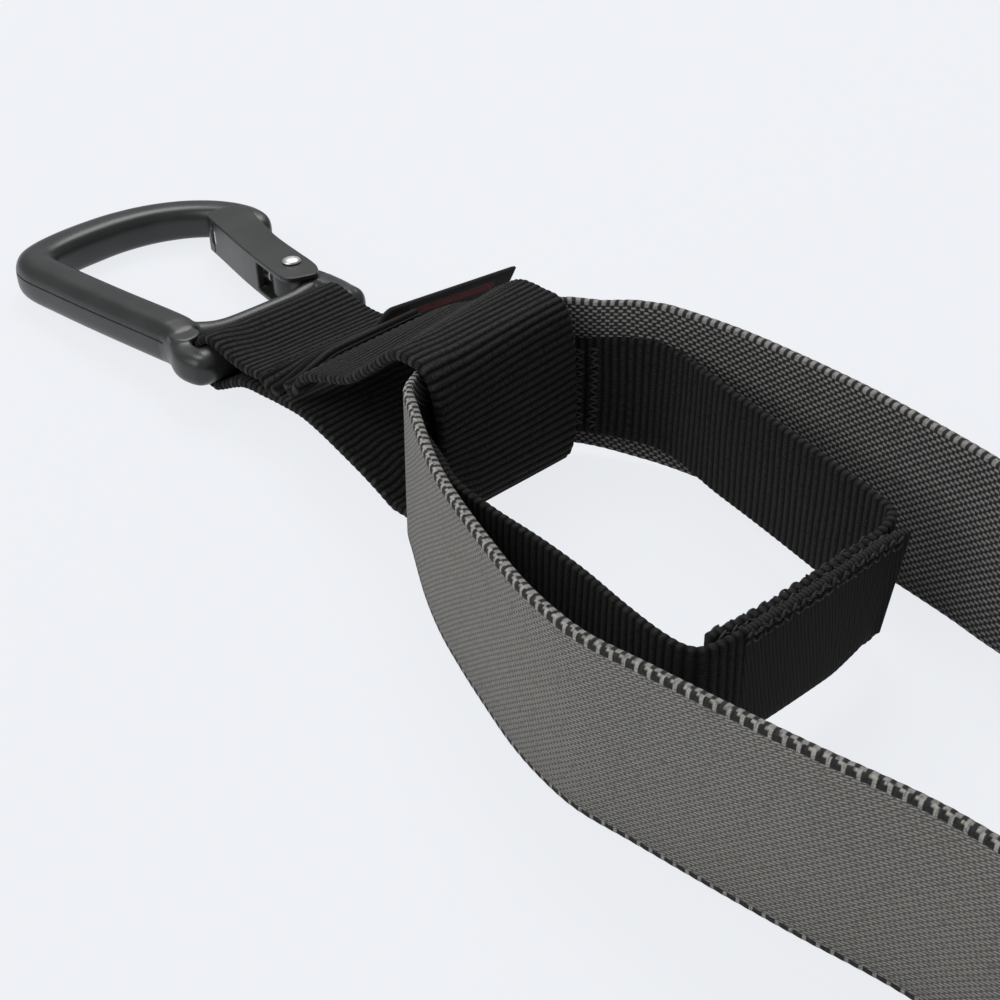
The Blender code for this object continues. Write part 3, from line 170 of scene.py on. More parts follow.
class Effects:
    """Shader groups shared by the materials, each built once."""

    @staticmethod
    def group(name: str, inputs: dict, outputs: tuple) -> tuple:
        """Start a group with named inputs and outputs.

        Args:
            name: Name of the group.
            inputs: Default of each input: a number, or None for a vector.
            outputs: Names of its value outputs.

        Returns:
            The tree, its shader helper, its given values and its output node.
        """
        tree = bpy.data.node_groups.new(name, "ShaderNodeTree")
        for socket, default in inputs.items():
            kind = "NodeSocketVector" if default is None else "NodeSocketFloat"
            made = tree.interface.new_socket(name=socket, in_out="INPUT", socket_type=kind)
            if default is not None:
                made.default_value = default
        for socket in outputs:
            tree.interface.new_socket(name=socket, in_out="OUTPUT", socket_type="NodeSocketFloat")
        way_in, way_out = tree.nodes.new("NodeGroupInput"), tree.nodes.new("NodeGroupOutput")
        return tree, Shader(tree), way_in.outputs, way_out

    @staticmethod
    @cache
    def dashes() -> bpy.types.NodeTree:
        """Rows of short yarn floats: each row is shifted against the last."""
        tree, shader, given, way_out = Effects.group(
            "yarn_dashes",
            {"Strip": None, "Period": 1.2, "Row Pitch": 0.5, "Row Shift": 0.4, "Fill": 0.7,
             "Slant": 0.0},
            ("Mask", "Height"),
        )
        parts = shader.node("SeparateXYZ", {0: given["Strip"]})
        row = shader.math("DIVIDE", parts.outputs[1], given["Row Pitch"])
        within = shader.math("FRACT", row)
        number = shader.math("FLOOR", row)
        shift = shader.math("MULTIPLY", number, given["Row Shift"])
        along = shader.math("DIVIDE", parts.outputs[0], given["Period"])
        along = shader.math("MULTIPLY_ADD", within, given["Slant"], along)
        phase = shader.math("FRACT", shader.math("ADD", along, shift))
        rise = shader.math("ABSOLUTE", shader.math("SUBTRACT", phase, 0.5))
        half = shader.math("MULTIPLY", given["Fill"], 0.5)
        lengthwise = shader.ramp(shader.math("SUBTRACT", half, rise), -0.07, 0.10)
        middle = shader.math("ABSOLUTE", shader.math("SUBTRACT", within, 0.5))
        across = shader.ramp(shader.math("SUBTRACT", 0.5, middle), 0.0, 0.30)
        mask = shader.math("MULTIPLY", lengthwise, across)
        shader.fill(way_out, {"Mask": mask, "Height": mask})
        return tree

    @staticmethod
    @cache
    def cords() -> bpy.types.NodeTree:
        """Ribs across a webbing, each bound by fine yarns that run along it."""
        tree, shader, given, way_out = Effects.group(
            "rib_cords",
            {"Strip": None, "Rib Pitch": 1.8, "Yarn Pitch": 0.55, "Slant": 0.25},
            ("Rib", "Yarn", "Height"),
        )
        parts = shader.node("SeparateXYZ", {0: given["Strip"]})
        turn = shader.math("DIVIDE", parts.outputs[0], given["Rib Pitch"])
        phase = shader.math("FRACT", turn)
        rib = shader.math("SINE", shader.math("MULTIPLY", phase, math.pi))
        skew = shader.math("MULTIPLY", phase, given["Slant"])
        number = shader.math("MULTIPLY", shader.math("FLOOR", turn), 0.5)
        yarn = shader.math("DIVIDE", parts.outputs[1], given["Yarn Pitch"])
        yarn = shader.math("FRACT", shader.math("ADD", shader.math("ADD", yarn, skew), number))
        yarn = shader.math("SINE", shader.math("MULTIPLY", yarn, math.pi))
        height = shader.math("MULTIPLY_ADD", yarn, 0.45, rib)
        shader.fill(way_out, {"Rib": rib, "Yarn": yarn, "Height": height})
        return tree

    @staticmethod
    @cache
    def wear() -> bpy.types.NodeTree:
        """Soft patches and fine specks of handling, as masks."""
        tree, shader, given, way_out = Effects.group(
            "handling_wear", {"Place": None, "Patch Scale": 60.0, "Speck Scale": 1500.0},
            ("Patch", "Speck"),
        )
        for mask, detail in (("Patch", 3.0), ("Speck", 2.0)):
            noise = shader.node("TexNoise", {
                "Vector": given["Place"], "Scale": given[mask + " Scale"], "Detail": detail})
            shader.fill(way_out, {mask: noise.outputs[0]})
        return tree


class Finish:
    """Base of every finish: one Principled material, made once."""

    name: str
    made: dict[str, bpy.types.Material] = {}

    def material(self) -> bpy.types.Material:
        """The finish's material, made on first use."""
        if self.name not in Finish.made:
            material = bpy.data.materials.new(self.name)
            material.use_nodes = True
            Finish.made[self.name] = material
            shader = Shader(material.node_tree)
            self.dress(shader, material.node_tree.nodes["Principled BSDF"])
        return Finish.made[self.name]

    def dress(self, shader: Shader, surface: bpy.types.Node) -> None:
        """Fill in the material's nodes."""
        raise NotImplementedError


@dataclass(frozen=True)
class RibbedWeave(Finish):
    """Black webbing with ribs across it and fine binding yarns."""

    name: str = "black_ribbed_webbing"
    # groove is painted shade between the ribs; crest is the colour on the rib tops.
    crest: tuple = colour(0.029, 0.0275, 0.0262)
    groove: tuple = colour(0.0022, 0.0020, 0.0019)
    rib_pitch: float = 1.8
    yarn_pitch: float = 0.62
    roughness: float = 0.85
    depth: float = 0.00020

    def dress(self, shader: Shader, surface: bpy.types.Node) -> None:
        """Painted shade in the grooves between ribs and yarns, lighter crests, and a little fading.
        """
        cords = shader.effect(Effects.cords(), {
            "Strip": shader.strip(), "Rib Pitch": self.rib_pitch, "Yarn Pitch": self.yarn_pitch})
        wear = shader.wear()
        # The colour rises from groove to crest along each rib's and yarn's curve: painted shade in
        # the hollows, lighter on the tops.
        lift = shader.math(
            "MULTIPLY", shader.math("POWER", cords.outputs["Rib"], 1.5),
            shader.math("MULTIPLY_ADD", cords.outputs["Yarn"], 0.65, 0.42),
        )
        lift = shader.math("MULTIPLY", lift, shader.ramp(wear.outputs["Speck"], 0.10, 0.65))
        shader.fill(surface, {
            "Base Color": shader.mix(lift, self.groove, self.crest), "Roughness": self.roughness,
            "Specular IOR Level": 0.12, "Sheen Weight": 0.03, "Sheen Roughness": 0.45,
            "Normal": shader.bump(cords.outputs["Height"], self.depth)})


@dataclass(frozen=True)
class PlainWeave(Finish):
    """Fine black weave of a sewn end, with hardly any rib."""

    name: str = "black_fine_weave"
    # groove is painted shade between the yarn floats.
    crest: tuple = colour(0.024, 0.022, 0.022)
    groove: tuple = colour(0.006, 0.0055, 0.0055)
    period: float = 0.9
    row_pitch: float = 0.42
    roughness: float = 0.78
    depth: float = 0.00010

    def dress(self, shader: Shader, surface: bpy.types.Node) -> None:
        """Slanted floats over a ground darkened as painted shade between them."""
        yarns = shader.effect(Effects.dashes(), {
            "Strip": shader.strip(), "Period": self.period, "Row Pitch": self.row_pitch,
            "Row Shift": 0.08, "Fill": 0.62, "Slant": 0.10})
        shader.fill(surface, {
            "Base Color": shader.mix(yarns.outputs["Mask"], self.groove, self.crest),
            "Roughness": self.roughness, "Specular IOR Level": 0.12, "Sheen Weight": 0.03,
            "Normal": shader.bump(yarns.outputs["Height"], self.depth)})


@dataclass(frozen=True)
class Jacquard(Finish):
    """Grey strap: pale twilled outer face, dotted inner face and a chequered edge."""

    name: str = "grey_jacquard"
    half_width: float = 19.0
    selvedge: float = 0.95
    chequer: float = 2.4
    lean: float = 0.27
    pale: tuple = colour(0.300, 0.290, 0.266)
    fleck: tuple = colour(0.105, 0.101, 0.093)
    dot: tuple = colour(0.310, 0.300, 0.285)
    ground: tuple = colour(0.028, 0.0265, 0.0265)
    edge_pale: tuple = colour(0.37, 0.36, 0.34)
    edge_dark: tuple = colour(0.030, 0.029, 0.028)
    fringe: tuple = colour(0.36, 0.35, 0.31)
    roughness: float = 0.88
    depth: float = 0.00018

    def weave(self, shader: Shader, parts: bpy.types.Node, grain: bpy.types.NodeSocket) -> tuple:
        """Tone and height of the outer face and of the inner face.

        Args:
            shader: Where the nodes go.
            parts: The strip's coordinates, separated.
            grain: Fine variation of the yarn.

        Returns:
            Outer tone, inner tone, outer height and inner height.
        """
        slanted = shader.node("CombineXYZ", {
            0: parts.outputs[0],
            1: shader.math("MULTIPLY_ADD", parts.outputs[0], self.lean, parts.outputs[1]),
        })
        outer, inner = (
            shader.effect(Effects.dashes(), {
                "Strip": strip, "Period": 1.85, "Row Pitch": pitch, "Row Shift": shift,
                "Fill": fill, "Slant": 0.0})
            for strip, pitch, shift, fill in (
                (slanted.outputs[0], 0.52, 0.42, 0.80), (shader.strip(), 0.80, 0.5, 0.58))
        )
        tones = [
            shader.mix(shader.math("MULTIPLY", face.outputs["Mask"], grain), low, high)
            for face, low, high in ((outer, self.fleck, self.pale), (inner, self.ground, self.dot))
        ]
        return (*tones, outer.outputs["Height"], inner.outputs["Height"])

    def dress(self, shader: Shader, surface: bpy.types.Node) -> None:
        """Both faces and the edge in one material, told apart by the strip's coordinates."""
        parts = shader.node("SeparateXYZ", {0: shader.strip()})
        grain = shader.ramp(shader.wear().outputs["Speck"], 0.05, 0.58)
        outer_tone, inner_tone, outer_height, inner_height = self.weave(shader, parts, grain)
        phase = shader.math("FRACT", shader.math("DIVIDE", parts.outputs[0], self.chequer))
        tooth = self.near(shader, phase, 0.17, 0.14)
        dash = self.near(shader, phase, 0.32, 0.27)
        reach = shader.math("ABSOLUTE", parts.outputs[1])
        start = self.half_width - self.selvedge
        band = shader.ramp(reach, start - 0.08, start + 0.08)
        band_tone = shader.mix(
            shader.math("MULTIPLY", tooth, grain), self.edge_dark, self.edge_pale
        )
        face = shader.ramp(parts.outputs[2], -0.2, 0.2)
        tone = shader.mix(face, shader.mix(band, outer_tone, band_tone), inner_tone)
        rim = shader.ramp(shader.math("ABSOLUTE", parts.outputs[2]), 0.95, 0.70)
        rim_tone = shader.mix(shader.math("MULTIPLY", dash, grain), self.edge_dark, self.fringe)
        rim_tone = shader.mix(shader.ramp(parts.outputs[2], -0.5, -0.2), rim_tone, inner_tone)
        height = shader.node("Mix", {0: face, 2: outer_height, 3: inner_height})
        shader.fill(surface, {
            "Base Color": shader.mix(rim, tone, rim_tone), "Roughness": self.roughness,
            "Specular IOR Level": 0.15, "Sheen Weight": 0.04,
            "Normal": shader.bump(height.outputs[0], self.depth)})

    @staticmethod
    def near(shader: Shader, phase, middle: float, half: float) -> bpy.types.NodeSocket:
        """1 where a phase lies within half of a middle, with soft ends."""
        away = shader.math("ABSOLUTE", shader.math("SUBTRACT", phase, middle))
        return shader.ramp(away, half + 0.04, half - 0.04)


@dataclass(frozen=True)
class Anodised(Finish):
    """Satin anodised alloy, faintly mottled, with fine blasted grain."""

    name: str = "black_anodised"
    tone: tuple = colour(0.021, 0.0216, 0.021)
    worn: tuple = colour(0.031, 0.0315, 0.0305)
    roughness: float = 0.36
    grain: float = 0.000018

    def dress(self, shader: Shader, surface: bpy.types.Node) -> None:
        """Patches in tone and roughness and a blasted grain."""
        wear = shader.wear(patch_scale=90.0, speck_scale=2600.0)
        patch = wear.outputs["Patch"]
        shader.fill(surface, {
            "Base Color": shader.mix(shader.ramp(patch, 0.35, 0.75), self.tone, self.worn),
            "Roughness": shader.math("MULTIPLY_ADD", patch, 0.12, self.roughness - 0.06),
            "Metallic": 0.25, "Specular IOR Level": 0.62,
            "Normal": shader.bump(wear.outputs["Speck"], self.grain)})


@dataclass(frozen=True)
class Steel(Finish):
    """Bright drawn steel with faint lines."""

    name: str = "bright_steel"
    tone: tuple = colour(0.66, 0.65, 0.62)
    roughness: float = 0.40

    def dress(self, shader: Shader, surface: bpy.types.Node) -> None:
        """A little variation in tone and roughness."""
        wear = shader.wear(patch_scale=500.0, speck_scale=4000.0)
        dull = colour(*(0.8 * part for part in self.tone[:3]))
        patch, speck = shader.ramp(wear.outputs["Patch"], 0.4, 0.8), wear.outputs["Speck"]
        shader.fill(surface, {
            "Base Color": shader.mix(patch, self.tone, dull), "Metallic": 1.0,
            "Roughness": shader.math("MULTIPLY_ADD", speck, 0.14, self.roughness - 0.07)})


@dataclass(frozen=True)
class Foam(Finish):
    """Closed-cell foam with a pebbled skin."""

    name: str = "black_foam"
    tone: tuple = colour(0.017, 0.017, 0.018)
    # The darker colour is painted shade in the low spots between the cells.
    pore: tuple = colour(0.006, 0.006, 0.006)
    roughness: float = 0.88
    cell_scale: float = 1100.0
    depth: float = 0.00010

    def dress(self, shader: Shader, surface: bpy.types.Node) -> None:
        """Small cells as bump, with painted shade in the low spots between them."""
        cells = shader.node(
            "TexVoronoi", {"Vector": shader.place(), "Scale": self.cell_scale}, feature="F1")
        pit = shader.ramp(cells.outputs["Distance"], 0.15, 0.55)
        shader.fill(surface, {
            "Base Color": shader.mix(pit, self.tone, self.pore), "Roughness": self.roughness,
            "Normal": shader.bump(shader.math("SUBTRACT", 1.0, pit), self.depth)})


@dataclass(frozen=True)
class Moulded(Finish):
    """Moulded rubber or plastic with a fine spark-eroded grain."""

    name: str = "black_rubber"
    tone: tuple = colour(0.022, 0.022, 0.023)
    roughness: float = 0.60
    grain_scale: float = 1800.0
    depth: float = 0.00003

    def dress(self, shader: Shader, surface: bpy.types.Node) -> None:
        """Grain and a slight bloom."""
        wear = shader.wear(patch_scale=120.0, speck_scale=self.grain_scale)
        bloom = colour(*(1.5 * part for part in self.tone[:3]))
        patch = shader.ramp(wear.outputs["Patch"], 0.4, 0.8)
        shader.fill(surface, {
            "Base Color": shader.mix(patch, self.tone, bloom), "Roughness": self.roughness,
            "Normal": shader.bump(wear.outputs["Speck"], self.depth)})


@dataclass(frozen=True)
class TabCloth(Finish):
    """Folded cloth tab with one plain woven stripe."""

    name: str = "tab_cloth"
    tone: tuple = colour(0.016, 0.015, 0.0145)
    stripe: tuple = colour(0.115, 0.026, 0.025)
    low: float = -0.55
    high: float = 1.15
    start: float = 9.0
    end: float = 44.0
    roughness: float = 0.85
    depth: float = 0.00008

    def dress(self, shader: Shader, surface: bpy.types.Node) -> None:
        """Fine weave with painted shade between its yarns, and a worn stripe along the middle."""
        strip = shader.strip()
        parts = shader.node("SeparateXYZ", {0: strip})
        yarns = shader.effect(Effects.dashes(), {
            "Strip": strip, "Period": 0.7, "Row Pitch": 0.32, "Row Shift": 0.5, "Fill": 0.7})
        within = [
            shader.math("MULTIPLY", shader.ramp(part, low - soft, low + soft),
                        shader.ramp(part, high + soft, high - soft))
            for part, low, high, soft in (
                (parts.outputs[1], self.low, self.high, 0.15),
                (parts.outputs[0], self.start, self.end, 1.0))
        ]
        worn = shader.math("MULTIPLY_ADD", shader.wear().outputs["Patch"], 0.5, 0.45)
        stripe = shader.math("MULTIPLY", shader.math("MULTIPLY", *within), worn)
        # The yarn floats are a little lighter and the gaps between them darker: painted light and
        # shade of the weave.
        dark = shader.mix(yarns.outputs["Mask"], colour(0.8, 0.8, 0.8), colour(1.1, 1.1, 1.1))
        tinted = shader.node(
            "Mix", {0: 1.0, 6: shader.mix(stripe, self.tone, self.stripe), 7: dark},
            data_type="RGBA", blend_type="MULTIPLY")
        shader.fill(surface, {
            "Base Color": tinted.outputs[2], "Roughness": self.roughness,
            "Specular IOR Level": 0.15, "Sheen Weight": 0.04,
            "Normal": shader.bump(yarns.outputs["Height"], self.depth)})


RIBBED = RibbedWeave()
# The anchor webbing has a lighter crest over the same painted shade in its grooves.
ANCHOR_RIBBED = RibbedWeave(name="black_anchor_webbing", crest=colour(0.041, 0.0395, 0.038),
                            rib_pitch=1.75)
FINE = PlainWeave()
GREY = Jacquard()
ANODISED = Anodised()
STEEL = Steel()
FOAM = Foam()
RUBBER = Moulded()
TUBE_PLASTIC = Moulded(name="tube_plastic", tone=colour(0.06, 0.06, 0.062), roughness=0.45)
THREAD = Moulded(name="black_thread", tone=colour(0.014, 0.013, 0.013), roughness=0.65,
                 grain_scale=3500.0)


# ---------------------------------------------------------------------------------------------
# Mesh building blocks


def linked(name: str, data: bpy.types.ID) -> bpy.types.Object:
    """A new object in the scene."""
    made = bpy.data.objects.new(name, data)
    bpy.context.scene.collection.objects.link(made)
    return made


def new_piece(name: str, mesh: bpy.types.Mesh, finish: Finish) -> bpy.types.Object:
    """Link a mesh to the scene as a piece with a finish."""
    mesh.materials.append(finish.material())
    return linked(name, mesh)


def mesh_from(name: str, points: list, faces: list, smooth: bool = True) -> bpy.types.Mesh:
    """A mesh from points and faces, smooth shaded unless told otherwise."""
    mesh = bpy.data.meshes.new(name)
    mesh.from_pydata([tuple(point) for point in points], [], faces)
    mesh.update()
    if smooth:
        mesh.shade_smooth()
    return mesh


def face_outwards(mesh: bpy.types.Mesh) -> None:
    """Turn all faces of a closed mesh outwards."""
    turned = bmesh.new()
    turned.from_mesh(mesh)
    bmesh.ops.recalc_face_normals(turned, faces=turned.faces)
    turned.to_mesh(mesh)
    turned.free()


def mark_strip(mesh: bpy.types.Mesh, marks: list[float]) -> None:
    """Store the strip coordinates of each point."""
    values = mesh.attributes.new(STRIP, "FLOAT_VECTOR", "POINT")
    values.data.foreach_set("vector", marks)


def rings(rows: int, size: int) -> list[tuple]:
    """Faces between rows of points that each close on themselves."""
    faces = []
    for i in range(rows - 1):
        for k in range(size):
            a, b = i * size + k, i * size + (k + 1) % size
            faces.append((a, b, b + size, a + size))
    return faces


def keep(piece: bpy.types.Object, body: str, slot: str, *nodes: str) -> bpy.types.Object:
    """Give a piece its body and hide the solids that it stands for."""
    if nodes:
        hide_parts(*nodes)
    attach(piece, body)
    LOG.info("piece %s on %s", piece.name, body)
    return piece


def smooth_line(points: list, steps: int) -> list[Vector]:
    """A smooth line through the points, with steps pieces between each two."""
    points = [Vector(point) for point in points]
    padded = [2 * points[0] - points[1], *points, 2 * points[-1] - points[-2]]
    line = []
    for before, start, end, after in zip(padded, padded[1:], padded[2:], padded[3:]):
        for step in range(steps):
            t = step / steps
            line.append(
                (2 * start + (end - before) * t
                 + (2 * before - 5 * start + 4 * end - after) * t**2
                 + (3 * start - before - 3 * end + after) * t**3) / 2
            )
    line.append(points[-1])
    return line


def arc(centre: tuple, radius: float, start: float, end: float, steps: int) -> list[tuple]:
    """Points of a circle's arc, both ends included."""
    angles = [start + (end - start) * step / steps for step in range(steps + 1)]
    return [(centre[0] + radius * math.cos(a), centre[1] + radius * math.sin(a)) for a in angles]


def coil(radius: float, low: float, high: float, turns: int, steps: int) -> list[Vector]:
    """Centre line of a coil spring between two heights, with steps points a turn."""
    angles = (2 * math.pi * k / steps for k in range(steps * turns + 1))
    rise = high - low
    return [Vector((radius * math.cos(a), radius * math.sin(a),
                    low + rise * a / (2 * math.pi * turns))) for a in angles]


def tube(name: str, line: list[Vector], radii: list[float], sides: int, power: float = 2.0,
         up: Vector | None = None) -> bpy.types.Mesh:
    """Sweep a round or squarish section along a line.

    Args:
        name: Name of the mesh.
        line: Centre points.
        radii: Radius at each point.
        sides: Points round the section.
        power: 2 for a circle, more for a squarer section.
        up: Direction kept across the sweep, or None to turn as little as possible.

    Returns:
        A closed mesh.
    """
    points = []
    last = None
    for i, centre in enumerate(line):
        way = (line[min(i + 1, len(line) - 1)] - line[max(i - 1, 0)]).normalized()
        if up is not None:
            first = way.cross(up).normalized()
        elif last is None:
            first = way.orthogonal().normalized()
        else:
            first = (last - way * last.dot(way)).normalized()
        last = first
        second = way.cross(first)
        for side in range(sides):
            angle = 2 * math.pi * side / sides
            c, s = math.cos(angle), math.sin(angle)
            reach = (abs(c) ** power + abs(s) ** power) ** (-1 / power)
            points.append(centre + radii[i] * reach * (c * first + s * second))
    faces = rings(len(line), sides)
    faces.append(tuple(reversed(range(sides))))
    faces.append(tuple(range(len(points) - sides, len(points))))
    return mesh_from(name, points, faces)


def turn(name: str, profile: list[tuple], sides: int = 64) -> bpy.types.Mesh:
    """Spin a profile of (radius, height) about +Z. A profile off the axis is a closed ring."""
    points, faces = [], []
    on_axis = profile[0][0] == 0
    rows = []
    for radius, height in profile:
        if radius == 0:
            rows.append([len(points)])
            points.append(Vector((0, 0, height)))
            continue
        rows.append(list(range(len(points), len(points) + sides)))
        for side in range(sides):
            angle = 2 * math.pi * side / sides
            points.append(Vector((radius * math.cos(angle), radius * math.sin(angle), height)))
    pairs = list(zip(rows, rows[1:])) + ([] if on_axis else [(rows[-1], rows[0])])
    for low, high in pairs:
        for side in range(sides):
            after = (side + 1) % sides
            face = [low[side % len(low)], low[after % len(low)], high[after % len(high)],
                    high[side % len(high)]]
            face = list(dict.fromkeys(face))
            if len(face) > 2:
                faces.append(tuple(face))
    mesh = mesh_from(name, points, faces)
    face_outwards(mesh)
    mesh.set_sharp_from_angle(angle=math.radians(42.0))
    return mesh


def rounded(profile: list[tuple], radius: float, steps: int = 4) -> list[tuple]:
    """Round the inner corners of an open profile by up to the given radius."""
    out = [profile[0]]
    for before, here, after in zip(profile, profile[1:], profile[2:]):
        a, b, c = Vector(before), Vector(here), Vector(after)
        back, ahead = (a - b), (c - b)
        if back.length < MERGE or ahead.length < MERGE:
            out.append(here)
            continue
        cut = min(radius, back.length * 0.45, ahead.length * 0.45)
        start, end = b + back.normalized() * cut, b + ahead.normalized() * cut
        for step in range(steps + 1):
            t = step / steps
            spot = (1 - t) ** 2 * start + 2 * t * (1 - t) * b + t * t * end
            out.append((spot.x, spot.y))
    out.append(profile[-1])
    return out


def settle(piece: bpy.types.Object) -> None:
    """Apply a piece's modifiers to its mesh."""
    bpy.context.view_layer.update()
    graph = bpy.context.evaluated_depsgraph_get()
    mesh = bpy.data.meshes.new_from_object(piece.evaluated_get(graph))
    old = piece.data
    piece.modifiers.clear()
    piece.data = mesh
    if old.users == 0:
        bpy.data.meshes.remove(old)


def boolean(piece: bpy.types.Object, mesh: bpy.types.Mesh, operation: str) -> None:
    """Cut or add a mesh in the row frame, at once."""
    cutter = linked("cutter", mesh)
    step = piece.modifiers.new("boolean", "BOOLEAN")
    step.operation, step.solver, step.object = operation, "EXACT", cutter
    settle(piece)
    bpy.data.objects.remove(cutter, do_unlink=True)
    bpy.data.meshes.remove(mesh)


def soften(piece: bpy.types.Object, voxel: float, passes: int, share: float = 1.0) -> None:
    """Remesh a piece in small cells and smooth it, so that its edges are rolled over."""
    remesh = piece.modifiers.new("cells", "REMESH")
    remesh.mode, remesh.voxel_size, remesh.use_smooth_shade = "VOXEL", voxel, True
    smooth = piece.modifiers.new("roll", "SMOOTH")
    smooth.factor, smooth.iterations = 0.5, passes
    if share < 1.0:
        fewer = piece.modifiers.new("fewer", "DECIMATE")
        fewer.ratio = share
    settle(piece)
    piece.data.shade_smooth()


def outline_plate(name: str, outline: list, low: float, high: float) -> bpy.types.Mesh:
    """A flat closed outline between two heights."""
    count = len(outline)
    points = [Vector((*p[:2], low)) for p in outline] + [Vector((*p[:2], high)) for p in outline]
    faces = [tuple(range(count - 1, -1, -1)), tuple(range(count, 2 * count))]
    faces += [(i, (i + 1) % count, count + (i + 1) % count, count + i) for i in range(count)]
    mesh = mesh_from(name, points, faces, smooth=False)
    face_outwards(mesh)
    return mesh


def between(value: float, knots: tuple) -> float:
    """Value of a broken line given by its corners."""
    if value <= knots[0][0]:
        return knots[0][1]
    for (x0, y0), (x1, y1) in zip(knots, knots[1:]):
        if value <= x1:
            return y0 + (y1 - y0) * (value - x0) / (x1 - x0)
    return knots[-1][1]


def ease(value: float) -> float:
    """Smooth rise from 0 to 1."""
    value = min(1.0, max(0.0, value))
    return value * value * (3 - 2 * value)


@dataclass(frozen=True)
class Sag:
    """How far the webbing's upper edges have sunk round the bend of the main strap."""

    half: float = 19.0 * MM
    foot: float = 8.0 * MM
    rise: float = 32.0 * MM
    lean: float = 1.4 * MM
    lean_foot: float = 0.9 * MM
    lean_end: float = 12.0 * MM
    lean_fade: float = 10.0 * MM
    lean_narrows: float = 2.5
    near: tuple = (
        (-0.060, 0.0), (-0.040, 0.0013), (-0.015, 0.0043), (0.005, 0.0043), (0.025, 0.0027),
        (0.080, 0.0012), (0.150, 0.0),
    )
    far: tuple = (
        (-0.003, 0.0022), (0.001, 0.0031), (0.006, 0.0031), (0.009, 0.0028), (0.015, 0.0009),
        (0.021, 0.0),
    )

    def __call__(self, point: Vector, leaning: bool) -> Vector:
        """A point after sinking.

        Args:
            point: Where it would be on a stiff strap.
            leaning: Whether it also leans away from the carabiner at the near side.

        Returns:
            The moved point.
        """
        side = min(1.0, max(0.0, (point.y + self.half) / (2 * self.half)))
        depth = (1 - side) * between(point.x, self.near) + side * between(point.x, self.far)
        share = ease((point.z - self.foot) / self.rise)
        moved = point - Vector((0, 0, depth * share))
        if leaning:
            away = ease((self.lean_end - point.x) / self.lean_fade)
            by_side = ease(1 - side * self.lean_narrows)
            moved.x += (self.lean_foot + self.lean * share) * away * by_side
        return moved


